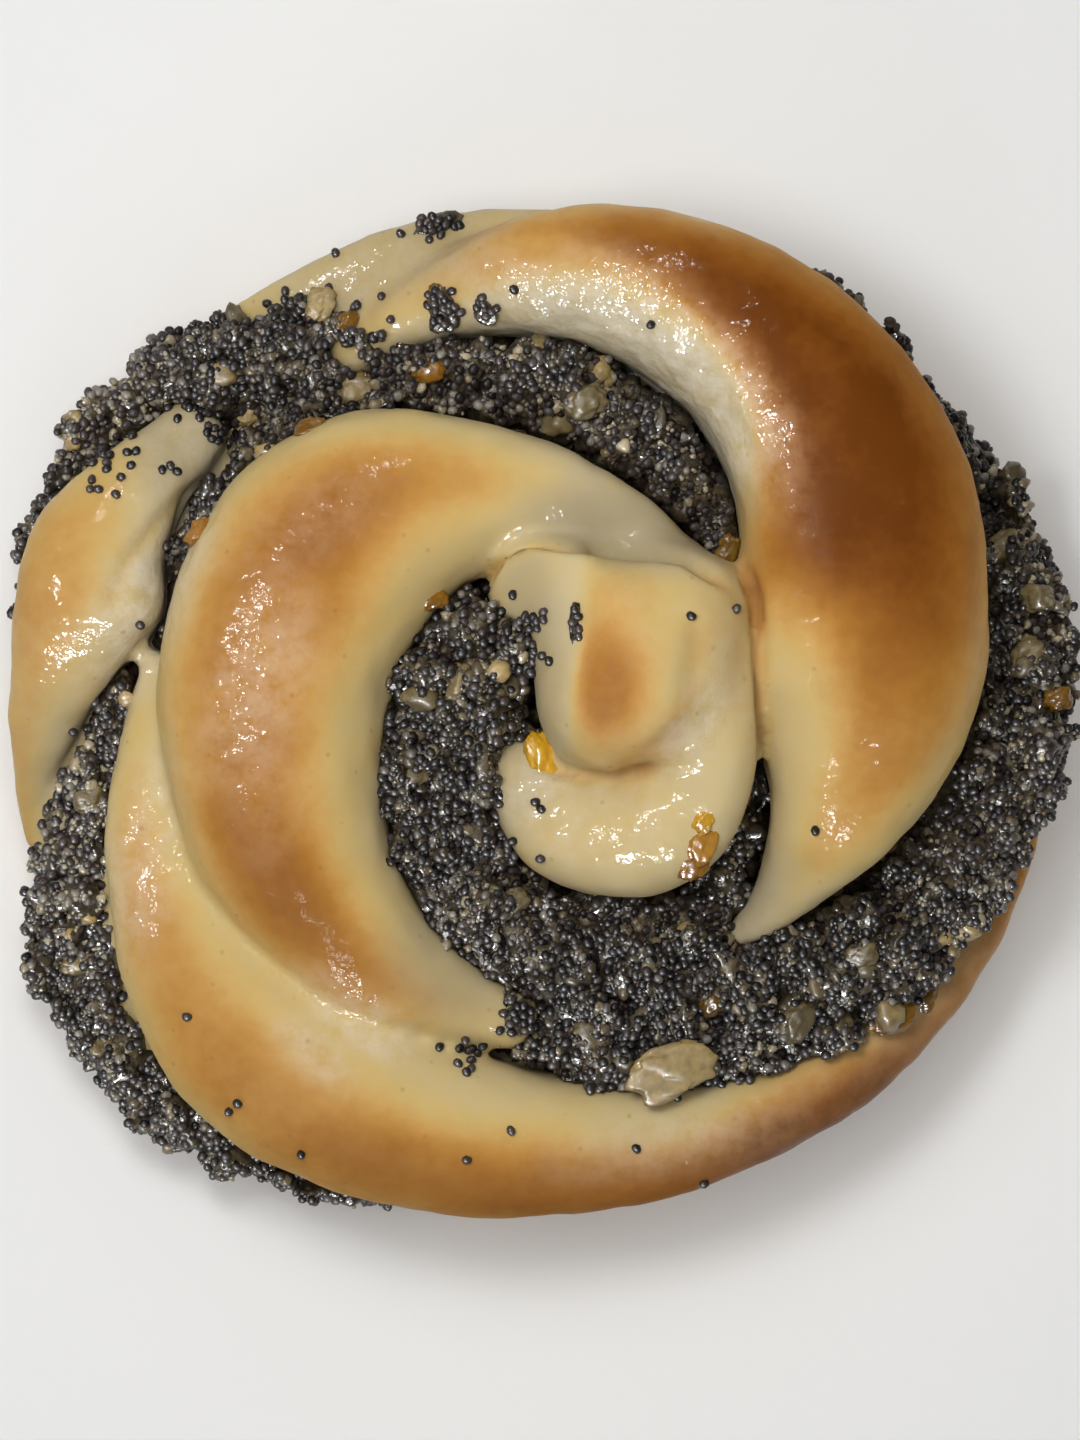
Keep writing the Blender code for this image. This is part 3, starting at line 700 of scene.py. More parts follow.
def makePaste():
    runs = []
    for i, spec in enumerate((fillingOne, fillingTwo, fillingThree)):
        rows = round(sweptLength(spec) / runGrid["rowStep"]) + runGrid["tipRows"]
        runs.append(rolledGrid(f"run{i}", rows, runGrid["around"], lambda s, t: runPoint(spec, s, t)))
    core = remeshed(joinPieces("poppyPaste", runs), pasteCore["grain"])
    bm = bmesh.new()
    bm.from_mesh(core.data)
    bm.normal_update()
    for vert in bm.verts:
        at = vert.co / mm
        outward = Vector((at.x - coilMiddle[0], at.y - coilMiddle[1], 0))
        facing = max(vert.normal.dot(outward.normalized()), 0.0) * fall(outward.length, *pasteCore["rim"])
        back = pasteCore["setBack"] + pasteCore["rimSetBack"] * facing
        vert.co += vert.normal * (clumpRise(at) - back) * mm
    bm.to_mesh(core.data)
    bm.free()
    room = joinPieces("room", [form for form, _ in doughForms(pasteCore["clear"])])
    return cutBy(core, remeshed(room, pasteCore["roomGrain"]))


# A seed: its faces around and along it, its size against the listed one, how flat and how bent it is.
seedShape = {"across": 7, "rings": 4, "size": 1.18, "narrow": (0.86, 0.84), "pinch": 0.32}
# What lies in and on the filling, in mm. fineness marks a crumb, rounder with each step; the rest are seeds.
seedKinds = {
    "nutBits": {"count": 90, "apart": 1.6, "size": (1.3, 3.0), "sunk": 0.5, "patchy": -0.1, "draw": 6,
                "fineness": 3},
    "ripeSeeds": {"count": 4200, "apart": 0.66, "size": (0.84, 1.08), "sunk": 0.1, "patchy": 0.3, "draw": 3},
    "slateSeeds": {"count": 2300, "apart": 0.68, "size": (0.78, 1.02), "sunk": 0.16, "patchy": 0.4,
                   "draw": 4},
    "pasteCrumbs": {"count": 1300, "apart": 0.6, "size": (0.4, 1.3), "sunk": 0.2, "patchy": -0.25, "draw": 5,
                    "fineness": 2},
    "groundSeeds": {"count": 9000, "apart": 0.3, "size": (0.32, 0.72), "sunk": 0.1, "patchy": -0.45,
                    "draw": 7, "fineness": 1},
}
scatter = {
    "tries": 14,  # darts thrown for each grain
    "patches": 3.6,  # size of the places where a kind lies thick or thin
    "strew": (-0.9, 0.1),  # how much chance blurs them
    "aside": 0.3,  # how far a grain may slide from the middle of its face
    "toneSize": 3.2,  # size of the patches of pale and of dark crumbs
}
# Which faces of the paste show, in mm.
openness = {
    "lowest": 2,  # lower ones lie against the tray
    "steepest": -0.25,  # those that turn further down than this don't show
    "off": 0.15,  # the look outwards starts this far off the face
    "ahead": 2.2,  # room a face needs in front of it
    "above": 30,  # and on its slant upwards
}


def openFaces(core, dough):
    # middles, normals and areas of the paste's faces that show: a way out past the dough is free
    core.data.calc_loop_triangles()
    tree = surfaceTree(dough)
    found = []
    for face in core.data.loop_triangles:
        normal = Vector(face.normal)
        middle = sum((core.data.vertices[i].co for i in face.vertices), Vector()) / 3
        if normal.z < openness["steepest"] or middle.z < openness["lowest"] * mm:
            continue
        start = middle + normal * openness["off"] * mm
        slanted = (normal + Vector((0, 0, 1))).normalized()
        ways = ((normal, openness["ahead"]), (slanted, openness["above"]))
        if all(tree.ray_cast(start, way, reach * mm)[0] is None for way, reach in ways):
            found.append((middle, normal, face.area))
    return found, tree


# How far off the dough, and how high in a cleft, the paste goes from dark to pale, in mm.
pasteEdge = {"reach": 2.5, "off": (0.2, 1.5), "cleft": (-2.0, 0.0)}


def syrupAndShadeAlongDough(core, tree):
    # 1 on open paste, falling to 0 against the dough and down in the clefts, where dark syrup and painted
    # shade darken it
    tones = core.data.attributes.new("tone", "FLOAT", "POINT")
    for i, vert in enumerate(core.data.vertices):
        near = tree.find_nearest(vert.co, pasteEdge["reach"] * mm)[3]
        clear = 1.0 if near is None else fall(near / mm, *pasteEdge["off"])
        tones.data[i].value = clear * fall(clumpRise(vert.co / mm), *pasteEdge["cleft"])


def topPlace(trees, x, y):
    # highest point of the surfaces at a place in plan, in mm, with its normal
    hits = [tree.ray_cast(Vector((x * mm, y * mm, 0.1)), Vector((0, 0, -1)))[:2] for tree in trees]
    return max((hit for hit in hits if hit[0] is not None), key=lambda hit: hit[0].z, default=None)


laidShape = {
    "flatter": 1.5,  # they lie flatter than the clumps below them
    "power": 0.86,  # below 1 they are a little boxy, as if cut
    "rough": ((0.32, 0.9, 40), (0.2, 0.4, 60), (0.1, 0.16, 80)),  # height, size, draw
}


def laidPieces(name, pieces, trees, material):
    # cut pieces of nut or peel pressed into what lies below them, each with its own tone
    bm = bmesh.new()
    tones = bm.verts.layers.float.new("tone")
    for i, (x, y, long, wide, tall, turn, tone) in enumerate(pieces):
        point, normal = topPlace(trees, x, y)
        normal = (normal + Vector((0, 0, laidShape["flatter"]))).normalized()
        made = bmesh.ops.create_icosphere(bm, subdivisions=4, radius=1.0)["verts"]
        ahead = Vector((math.cos(math.radians(turn)), math.sin(math.radians(turn)), 0))
        ahead = (ahead - normal * ahead.dot(normal)).normalized()
        tilt = Matrix((ahead, normal.cross(ahead), normal)).transposed()
        for vert in made:
            at = Vector(power(c, laidShape["power"]) for c in vert.co)
            at *= 1 + sum(high * lump(at, size, seed + i) for high, size, seed in laidShape["rough"])
            at = Vector((at.x * long, at.y * wide, at.z * tall)) * 0.5 * mm
            vert.co = point + tilt @ at
            vert[tones] = tone
    piece = newPiece(name, bm)
    smoothShaded(piece, material)
    return piece


# Seeds that strayed onto the dough, in mm.
strayed = {
    "count": 130,
    "size": 1.05,
    "apart": 0.52,
    "reach": 3,  # the furthest from the filling
    "usual": 0.7,  # most lie within about this
    "lowest": 18,
    "steepest": 0.15,
}


def strayPlaces(dough, tree):
    # places on the dough where seeds have strayed from the filling, most of them close to it
    draw = random.Random(77)
    found = []
    while len(found) < strayed["count"]:
        vert = dough.data.vertices[draw.randrange(len(dough.data.vertices))]
        near = tree.find_nearest(vert.co, strayed["reach"] * mm)[3]
        if near is None or vert.co.z <= strayed["lowest"] * mm or vert.normal.z <= strayed["steepest"]:
            continue
        if draw.random() < math.exp(-near / mm / strayed["usual"]):
            found.append((vert.co.copy(), vert.normal.copy()))
    return found


def wellApart(spots, apart):
    kept = []
    for point, normal in spots:
        if all((point - other).length > apart * mm for other, _ in kept):
            kept.append((point, normal))
    return kept


def spreadPlaces(faces, kind, taken):
    # darts thrown on the open faces, each kept if nothing lies too near
    draw = random.Random(kind["draw"])
    weights = np.cumsum([area for _, _, area in faces])
    cell = kind["apart"] * mm
    kept = []
    for _ in range(kind["count"] * scatter["tries"]):
        i = min(int(np.searchsorted(weights, draw.random() * weights[-1])), len(faces) - 1)
        middle, normal, _ = faces[i]
        # seeds lie thick in some places and thin in others, where the paste shows
        thick = lump(middle / mm, scatter["patches"], 31) * (1 if kind["patchy"] > 0 else -1)
        if thick < draw.uniform(*scatter["strew"]) + abs(kind["patchy"]) - 0.3:
            continue
        sideways = Vector([draw.uniform(-1, 1) for _ in range(3)]) * scatter["aside"] * mm
        spot = middle + sideways - normal * sideways.dot(normal)
        key = tuple(int(math.floor(c / cell)) for c in spot)
        near = [p for x in (-1, 0, 1) for y in (-1, 0, 1) for z in (-1, 0, 1)
                for p in taken.get((key[0] + x, key[1] + y, key[2] + z), ())]
        if any((p - spot).length_squared < cell * cell for p in near):
            continue
        taken.setdefault(key, []).append(spot)
        kept.append((spot, normal))
        if len(kept) == kind["count"]:
            break
    return kept


def seedForm(name):
    # a poppy seed is a small kidney: a ball flattened and pinched on one side
    bm = bmesh.new()
    bmesh.ops.create_uvsphere(bm, u_segments=seedShape["across"], v_segments=seedShape["rings"], radius=0.5)
    for vert in bm.verts:
        vert.co.x *= seedShape["narrow"][0]
        vert.co.x += seedShape["pinch"] * vert.co.z ** 2
        vert.co.y *= seedShape["narrow"][1]
    bmesh.ops.recalc_face_normals(bm, faces=bm.faces)
    return newPiece(name, bm)


def crumbForm(name, fineness):
    # a ball made uneven
    bm = bmesh.new()
    bmesh.ops.create_icosphere(bm, subdivisions=fineness, radius=0.5)
    for vert in bm.verts:
        vert.co *= 1 + 0.5 * lump(vert.co, 0.6, 20) + 0.3 * lump(vert.co, 0.24, 21)
    bmesh.ops.recalc_face_normals(bm, faces=bm.faces)
    return newPiece(name, bm)


# Where the filling is paler or darker over a wider area, in mm: middle, half length, half width, turn, tone.
fillingAreas = (
    (-43.4, -13.0, 10, 4.5, 80, 0.5), (-41.0, 28.5, 7, 5, 50, 0.5), (5.5, 26.0, 6, 4, -30, 0.2),
    (9.0, -25.5, 13, 6, 15, -0.3), (-10.0, -4.0, 12, 5, 85, -0.25), (30.0, -21.0, 9, 5, 45, -0.15),
    (-10.0, 33.0, 8, 4, 10, 0.1), (43.0, -6.0, 8, 5, 80, 0.1),
)


def areaTone(at):
    x, y = at.x / mm, at.y / mm
    total = 0
    for middleX, middleY, long, wide, turn, tone in fillingAreas:
        cosine, sine = math.cos(math.radians(turn)), math.sin(math.radians(turn))
        dx, dy = x - middleX, y - middleY
        away = math.hypot((dx * cosine + dy * sine) / long, (dy * cosine - dx * sine) / wide)
        total += tone * (1 - fall(away, 0.5, 1.5))
    return total


def plantOnPlaces(name, form, places, material):
    # places: point, turn, stretch in mm and a tone from 0 to 1, all planted and made one mesh
    bm = bmesh.new()
    turns = bm.verts.layers.float_vector.new("turn")
    stretches = bm.verts.layers.float_vector.new("stretch")
    tones = bm.verts.layers.float.new("tone")
    for point, turn, stretch, tone in places:
        vert = bm.verts.new(point)
        vert[turns] = turn
        vert[stretches] = stretch * mm
        vert[tones] = tone
    piece = newPiece(name, bm)
    tree = bpy.data.node_groups.new("plant", "GeometryNodeTree")
    tree.interface.new_socket(name="Geometry", in_out="INPUT", socket_type="NodeSocketGeometry")
    tree.interface.new_socket(name="Geometry", in_out="OUTPUT", socket_type="NodeSocketGeometry")
    start = addNode(tree, "NodeGroupInput")
    shape = addNode(tree, "GeometryNodeObjectInfo", None, {"Object": form})
    turn, stretch = (addNode(tree, "GeometryNodeInputNamedAttribute",
                             {"data_type": "FLOAT_VECTOR"}, {"Name": key})
                     for key in ("turn", "stretch"))
    planted = addNode(tree, "GeometryNodeInstanceOnPoints", None, {
        "Points": start.outputs["Geometry"], "Instance": shape.outputs["Geometry"],
        "Rotation": turn.outputs["Attribute"], "Scale": stretch.outputs["Attribute"]})
    real = addNode(tree, "GeometryNodeRealizeInstances", None, {"Geometry": planted.outputs["Instances"]})
    addNode(tree, "NodeGroupOutput", None, {"Geometry": real.outputs["Geometry"]})
    change = piece.modifiers.new("plant", "NODES")
    change.node_group = tree
    applyModifiers(piece)
    smoothShaded(piece, material)
    bpy.data.objects.remove(form, do_unlink=True)
    return piece


# Pieces laid one by one, in mm: place, length, width, height, turn and tone.
steepedNuts = (
    (12.2, -32.6, 8.4, 4.6, 2.0, 16, 0.75), (4.6, -29.6, 4.6, 3.0, 2.2, -20, 0.35),
    (23.9, -28.1, 4.0, 2.8, 2.2, 60, 0.3), (44.6, 16.4, 4.2, 3.0, 2.6, 30, 0.5),
    (47.3, 11.6, 3.2, 2.6, 2.2, 0, 0.4), (46.3, 6.0, 3.6, 2.8, 2.2, 80, 0.45),
    (-28.0, 29.8, 3.4, 2.4, 2.0, 50, 0.9), (-20.6, 39.0, 3.2, 2.6, 1.4, 60, 0.8),
    (-17.0, 31.0, 3.8, 3.0, 2.2, 10, 0.6), (4.2, 29.3, 4.0, 2.8, 2.0, 20, 0.45),
    (-11.8, -4.8, 3.4, 2.6, 2.0, 0, 0.4), (-7.5, 3.5, 3.6, 2.4, 2.0, 70, 0.6),
    (-45.0, -23.6, 3.4, 2.4, 2.0, 15, 0.6), (-43.0, -7.5, 3.0, 2.4, 1.8, 60, 0.5),
    (30.0, -22.0, 3.2, 2.2, 1.8, 20, 0.4), (-2.5, -17.0, 3.2, 2.4, 1.8, 40, 0.4),
)
candiedPeel = (
    (0.3, -3.4, 4.8, 2.8, 2.4, 112, 0.95), (14.7, -9.2, 2.2, 1.7, 0.9, 60, 0.85),
    (14.6, -11.3, 3.6, 2.5, 0.9, 74, 0.6), (13.9, -13.2, 3.0, 2.4, 1.0, 50, 0.35),
    (-18.0, 37.1, 2.4, 1.8, 1.2, 60, 0.25), (-10.4, 32.4, 3.0, 2.2, 1.4, 10, 0.3),
    (-9.6, 39.2, 2.2, 1.6, 1.4, 80, 0.14), (-16.8, 31.4, 2.8, 2.0, 1.4, 40, 0.08),
    (-21.1, 26.8, 3.0, 2.0, 1.4, 20, 0.22), (16.0, -26.6, 2.6, 1.8, 1.4, 30, 0.08),
    (17.3, 15.4, 3.4, 2.2, 2.0, 70, 0.12), (-31.2, 17.3, 3.0, 2.0, 1.8, 40, 0.5),
    (33.3, -28.3, 4.6, 2.2, 1.4, 24, 0.25), (36.6, -26.5, 3.0, 2.2, 1.6, 60, 0.22),
    (49.0, 2.0, 2.8, 2.2, 2.0, 20, 0.2), (-9.6, 11.0, 2.6, 1.8, 1.4, 10, 0.35),
)
# Thin smears of paste under the clusters of seeds on the dough.
pasteSmears = (
    (-9.5, 46.4, 4.6, 2.0, 1.2, 20, 1.0), (-8.9, 38.0, 2.8, 4.4, 1.6, 0, 1.0),
    (-4.9, 37.6, 2.2, 2.4, 1.2, 0, 1.0), (-24.5, 37.2, 3.2, 2.4, 1.4, 30, 1.0),
    (-31.8, 30.0, 5.0, 3.4, 2.2, 40, 1.0), (-2.0, -27.8, 3.4, 2.4, 1.4, 60, 1.0),
    (3.1, 8.7, 3.6, 0.9, 0.9, 88, 0.0), (-1.8, 8.6, 2.6, 2.2, 0.8, 60, 0.6),
)
# Single seeds lying on the dough, and a short smear of them beside the ridge.
looseSeeds = (
    (-2.3, 11.4), (0.4, 5.8), (3.1, 9.8), (3.2, 9.2), (3.0, 8.7), (3.3, 8.1), (3.2, 7.5), (13.3, 9.2),
    (17.4, 9.9), (0.2, -8.2), (-2.8, -11.4), (-2.3, -11.1), (-3.8, -10.4), (0.2, -12.6), (-0.3, -7.6),
    (-4.4, -11.1), (-3.0, 8.5), (-2.3, 39.3), (10.1, 35.7), (-42.0, -18.9), (-42.4, -25.8), (-2.7, -37.9),
    (8.9, -39.8), (20.9, -42.1), (15.3, -43.3), (-32.4, -27.3), (25.1, -10.0), (-6.8, -40.5),
    (-27.8, -35.2), (-33.5, 36.0), (-31.8, 36.6), (-29.3, 36.8), (-27.4, 36.3), (-25.7, 39.4),
    (-24.7, 38.6), (-19.1, 43.8), (-13.0, 45.4), (-35.5, 23.4), (-34.8, 23.8), (-34.2, 23.3),
    (-37.4, 9.0), (-41.8, -12.4), (-28.6, -36.0), (-22.0, -40.0),
)
# Clusters of seeds smeared onto the dough: place, reach in mm and how many.
seedPatches = (
    (-9.5, 46.4, 1.5, 40), (-8.8, 38.3, 1.8, 44), (-4.9, 38.0, 1.1, 18), (-1.2, 8.7, 1.6, 16),
    (-40.5, 24.5, 3.0, 30), (-24.5, 37.6, 2.2, 24), (-6.8, -31.2, 1.8, 12), (-0.2, 6.0, 1.2, 8),
    (-32.0, 30.0, 2.4, 60), (-30.2, 27.0, 1.6, 30), (-2.2, -27.8, 1.5, 34), (8.0, -30.4, 1.2, 10),
    (16.4, -31.0, 1.2, 12),
)


# Settings that the materials' nodes share.
colourMix = {"data_type": "RGBA"}
times = {"operation": "MULTIPLY"}
plus = {"operation": "ADD"}
timesPlus = {"operation": "MULTIPLY_ADD"}


def newMaterial(name):
    material = bpy.data.materials.new(name)
    material.use_nodes = True
    return material, material.node_tree, material.node_tree.nodes["Principled BSDF"]


crustLook = {
    "mottles": ((7.0, 3.0, 0.26), (1.2, 4.0, 0.12)),  # uneven browning: size, detail, amount; sizes in mm
    # from cream in the folds to deep brown on the crests, the two ends first
    "stops": ((0.0, "#BFAF8C"), (1.0, "#6A3707"), (0.13, "#C6B180"), (0.26, "#C9AD6E"), (0.4, "#C79E5A"),
              (0.52, "#BB8943"), (0.64, "#A7712C"), (0.76, "#965F21"), (0.88, "#824B14")),
    "frostAndSheen": ("#E8E2D0", "#C9935F"),  # dried-syrup frost, partly a painted sheen: on pale and on brown crust
    "pores": "#7A5A30",
    "wet": "#9A8D6F",
    "frostAndSheenSize": 2.2,
    "poreSpacing": 3.0,
    "gritSize": 0.6,
    "rippleSize": 2.1,
}


def glazedDoughMaterial():
    # Enriched bread dough, egg-washed, baked and brushed with sugar syrup: a soft even gloss over a crust
    # that goes from cream to deep brown. The points' bake holds browning, frost, wet grey and shine.
    # the frost is partly a painted sheen, and the browning carries painted shade along the creases
    material, tree, shader = newMaterial("glazedBreadCrust")
    place = addNode(tree, "ShaderNodeTexCoord").outputs["Object"]
    bake = addNode(tree, "ShaderNodeAttribute", {"attribute_name": "bake"})
    parts = addNode(tree, "ShaderNodeSeparateColor", None, {"Color": bake.outputs["Color"]})
    brown, sparkle, grey = parts.outputs
    shine = bake.outputs["Alpha"]
    browned = brown
    for size, detail, amount in crustLook["mottles"]:
        spots = addNode(tree, "ShaderNodeTexNoise", None,
                        {"Vector": place, "Scale": scaleOf(size), "Detail": detail})
        shift = addNode(tree, "ShaderNodeMath", timesPlus, {0: spots, 1: amount, 2: -0.5 * amount})
        browned = addNode(tree, "ShaderNodeMath", plus, {0: shift, 1: browned})
    crust = addNode(tree, "ShaderNodeValToRGB", None, {"Fac": browned}, crustLook["stops"])
    # dried syrup leaves a pale frost in patches, more tan where the crust is brown; the frost is partly a
    # painted sheen where the glaze sparkles
    patchy = addNode(tree, "ShaderNodeTexNoise", None, {
        "Vector": place, "Scale": scaleOf(crustLook["frostAndSheenSize"]), "Detail": 4.0, "Roughness": 0.65})
    frostAndSheenEdge = addNode(tree, "ShaderNodeMapRange", None,
                        {"Value": patchy, "From Min": 0.3, "From Max": 0.62, "To Max": 0.55})
    frostAndSheen = addNode(tree, "ShaderNodeMath", times, {0: frostAndSheenEdge, 1: sparkle})
    paleFrostAndSheen, tanFrostAndSheen = crustLook["frostAndSheen"]
    frostAndSheenColour = addNode(tree, "ShaderNodeMix", colourMix, {0: brown, 6: paleFrostAndSheen, 7: tanFrostAndSheen})
    frostedAndSheened = addNode(tree, "ShaderNodeMix", colourMix, {0: frostAndSheen, 6: crust, 7: frostAndSheenColour.outputs[2]})
    # fine dark pores, about 0.3 mm across
    pores = addNode(tree, "ShaderNodeTexVoronoi", None,
                    {"Vector": place, "Scale": scaleOf(crustLook["poreSpacing"])})
    poreShare = addNode(tree, "ShaderNodeMapRange", None, {
        "Value": pores, "From Min": 0.03, "From Max": 0.11, "To Min": 0.3, "To Max": 0.0})
    pored = addNode(tree, "ShaderNodeMix", colourMix,
                    {0: poreShare, 6: frostedAndSheened.outputs[2], 7: crustLook["pores"]})
    wet = addNode(tree, "ShaderNodeMix", colourMix, {0: grey, 6: pored.outputs[2], 7: crustLook["wet"]})
    # a fine grit, coarser where the syrup frosted
    grit = addNode(tree, "ShaderNodeTexNoise", None,
                   {"Vector": place, "Scale": scaleOf(crustLook["gritSize"]), "Detail": 3.0})
    gritHigh = addNode(tree, "ShaderNodeMath", timesPlus, {0: sparkle, 1: 1.6, 2: 0.1})
    height = addNode(tree, "ShaderNodeMath", times, {0: grit, 1: gritHigh})
    bump = addNode(tree, "ShaderNodeBump", None, {"Height": height, "Strength": 0.3, "Distance": 0.2 * mm})
    # ripples and blisters in the syrup glint in its clear coat
    ripple = addNode(tree, "ShaderNodeTexNoise", None, {
        "Vector": place, "Scale": scaleOf(crustLook["rippleSize"]), "Detail": 3.0, "Roughness": 0.5})
    rippleHigh = addNode(tree, "ShaderNodeMath", timesPlus, {0: sparkle, 1: 0.4, 2: 0.15})
    sugar = addNode(tree, "ShaderNodeMath", times, {0: ripple, 1: rippleHigh})
    coat = addNode(tree, "ShaderNodeBump", None, {"Height": sugar, "Strength": 1.0, "Distance": 1.5 * mm})
    rough = addNode(tree, "ShaderNodeMapRange", None, {"Value": shine, "To Min": 0.65, "To Max": 0.5})
    gloss = addNode(tree, "ShaderNodeMapRange", None, {"Value": shine, "To Min": 0.0, "To Max": 0.62})
    setInputs(tree, shader, {
        "Base Color": wet.outputs[2], "Roughness": rough, "Normal": bump,
        "IOR": 1.45, "Specular IOR Level": 0.05,
        "Subsurface Weight": 0.16, "Subsurface Radius": (1.0, 0.55, 0.25), "Subsurface Scale": 1.6 * mm,
        "Coat Weight": gloss, "Coat Roughness": 0.15, "Coat IOR": 1.48, "Coat Normal": coat})
    return material


pasteLook = {
    # from the dark between the clumps to their pale sugary tops, the two ends first
    "stops": ((0.34, "#17110A"), (0.68, "#9C8F72"), (0.44, "#31281C"), (0.53, "#544A39"), (0.61, "#776B54")),
    "speck": "#1E1A1E",
    "darkSyrupAndShade": "#1A1209",
    "mottles": ((4.5, 3.0), (0.9, 4.0)),  # size in mm and detail
    "speckSpacing": 1.0,
}


def pasteMaterial():
    # Ground poppy seed cooked with sugar, milk and nuts: a wet grey-brown paste, darker between the clumps
    # from dark syrup and painted shade.
    material, tree, shader = newMaterial("wetPoppyPaste")
    place = addNode(tree, "ShaderNodeTexCoord").outputs["Object"]
    wide, fine = (addNode(tree, "ShaderNodeTexNoise", None,
                          {"Vector": place, "Scale": scaleOf(size), "Detail": detail})
                  for size, detail in pasteLook["mottles"])
    both = addNode(tree, "ShaderNodeMix", colourMix,
                   {0: 0.5, 6: wide.outputs["Color"], 7: fine.outputs["Color"]})
    paste = addNode(tree, "ShaderNodeValToRGB", None, {"Fac": both.outputs[2]}, pasteLook["stops"])
    ground = addNode(tree, "ShaderNodeTexVoronoi", None,
                     {"Vector": place, "Scale": scaleOf(pasteLook["speckSpacing"])})
    speck = addNode(tree, "ShaderNodeMapRange", None, {"Value": ground, "From Min": 0.1, "From Max": 0.45})
    dotted = addNode(tree, "ShaderNodeMix", colourMix, {0: speck, 6: pasteLook["speck"], 7: paste})
    # syrup has soaked into the paste along the dough and down in the clefts, which are darkest there; this
    # dark is partly painted shade
    edge = addNode(tree, "ShaderNodeAttribute", {"attribute_name": "tone"})
    colour = addNode(tree, "ShaderNodeMix", colourMix,
                     {0: edge.outputs["Fac"], 6: pasteLook["darkSyrupAndShade"], 7: dotted.outputs[2]})
    bump = addNode(tree, "ShaderNodeBump", None, {"Height": fine, "Strength": 0.7, "Distance": 0.4 * mm})
    setInputs(tree, shader, {"Base Color": colour.outputs[2], "Normal": bump, "Roughness": 0.32, "IOR": 1.45,
                             "Coat Weight": 0.4, "Coat Roughness": 0.1})
    return material


# Small pieces of the filling: what the stuff is, its colours with the two ends first, how rough it is, how
# strong its clear coat, and the size in mm and strength of its grain.
grainLooks = {
    # whole ripe seeds: blue-black hulls with a dull bloom
    "ripeSeeds": ("ripePoppySeed", ((0.0, "#0F0A09"), (1.0, "#3F3430"), (0.5, "#211A19")),
                  0.48, 0.12, 0.4, 0.3),
    # whole seeds that sugar has dusted: slate grey
    "slateSeeds": ("slatePoppySeed", ((0.0, "#232020"), (1.0, "#898174"), (0.5, "#453F3D")),
                   0.48, 0.12, 0.4, 0.3),
    # lumps of cooked paste: moist and grey-brown
    "pasteCrumbs": ("sugaredPasteCrumb", ((0.0, "#362B1D"), (1.0, "#B0A283"), (0.5, "#6C5F48")),
                    0.4, 0.2, 0.6, 0.3),
    # crushed seeds: a grit from black to the cream of their kernels
    "groundSeeds": ("groundPoppySeed", ((0.0, "#1A1411"), (1.0, "#A79D84"), (0.5, "#50473A")),
                    0.42, 0.18, 0.4, 0.3),
    # chopped nuts steeped in the syrup: tan with a mottled skin
    "nutBits": ("steepedNut", ((0.0, "#3A301E"), (1.0, "#B89D66"), (0.5, "#6E5F3D")), 0.45, 0.2, 0.8, 0.6),
    # candied orange peel: amber and glassy
    "candiedPeel": ("candiedOrangePeel", ((0.0, "#4E3A0C"), (1.0, "#CE9C20"), (0.25, "#75500F"),
                                          (0.5, "#986414"), (0.75, "#B07F1A")), 0.3, 0.45, 0.9, 0.3),
}


def grainMaterial(name, stops, roughness, coat, grainSize, mottle):
    # stops colour the pieces by their own tone; a fine grain varies each one
    material, tree, shader = newMaterial(name)
    place = addNode(tree, "ShaderNodeTexCoord").outputs["Object"]
    tone = addNode(tree, "ShaderNodeAttribute", {"attribute_name": "tone"})
    grain = addNode(tree, "ShaderNodeTexNoise", None,
                    {"Vector": place, "Scale": scaleOf(grainSize), "Detail": 2.0})
    shift = addNode(tree, "ShaderNodeMath", timesPlus, {0: grain, 1: mottle, 2: -0.5 * mottle})
    total = addNode(tree, "ShaderNodeMath", plus, {0: shift, 1: tone.outputs["Fac"]})
    colour = addNode(tree, "ShaderNodeValToRGB", None, {"Fac": total}, stops)
    bump = addNode(tree, "ShaderNodeBump", None, {"Height": grain, "Strength": 0.35, "Distance": 0.1 * mm})
    setInputs(tree, shader, {"Base Color": colour, "Normal": bump, "Roughness": roughness, "IOR": 1.45,
                             "Coat Weight": coat, "Coat Roughness": 0.08})
    return material


def grainPlaces(kind, spots):
    # the size, turn, stretch and tone of each grain of a kind, at its spot
    draw = random.Random(kind["draw"] + 50)
    whole = "fineness" not in kind
    places = []
    for spot, normal in spots:
        size = draw.uniform(*kind["size"]) * (seedShape["size"] if whole else 1)
        turn = Euler([draw.uniform(0, 6.28) for _ in range(3)])
        stretch = Vector([size * (1 if whole else draw.uniform(0.7, 1.2)) for _ in range(3)])
        tone = draw.random()
        if not whole:
            # pale crumbs and dark ones lie in patches
            tone = 0.5 * tone + 0.5 * fall(lump(spot / mm, scatter["toneSize"], 33), -0.35, 0.35)
        tone = min(max(tone + areaTone(spot), 0.0), 1.0)
        places.append((spot + normal * size * (0.25 - kind["sunk"]) * mm, Vector(turn[:]), stretch, tone))
    return places


def loosePlaces(tops, dough, pasteTree):
    # the seeds that lie on the dough, listed one by one, in clusters and strayed
    draw = random.Random(90)
    spots = [topPlace(tops, x, y) for x, y in looseSeeds]
    for x, y, reach, count in seedPatches:
        spots += [topPlace(tops, draw.gauss(x, reach / 2), draw.gauss(y, reach / 2)) for _ in range(count)]
    spots += strayPlaces(dough, pasteTree)
    places = []
    for point, normal in wellApart([spot for spot in spots if spot], strayed["apart"]):
        turn = Euler([draw.uniform(0, 6.28) for _ in range(3)])
        size = Vector((1, 1, 1)) * strayed["size"]
        places.append((point + normal * 0.25 * mm, Vector(turn[:]), size, draw.random()))
    return places


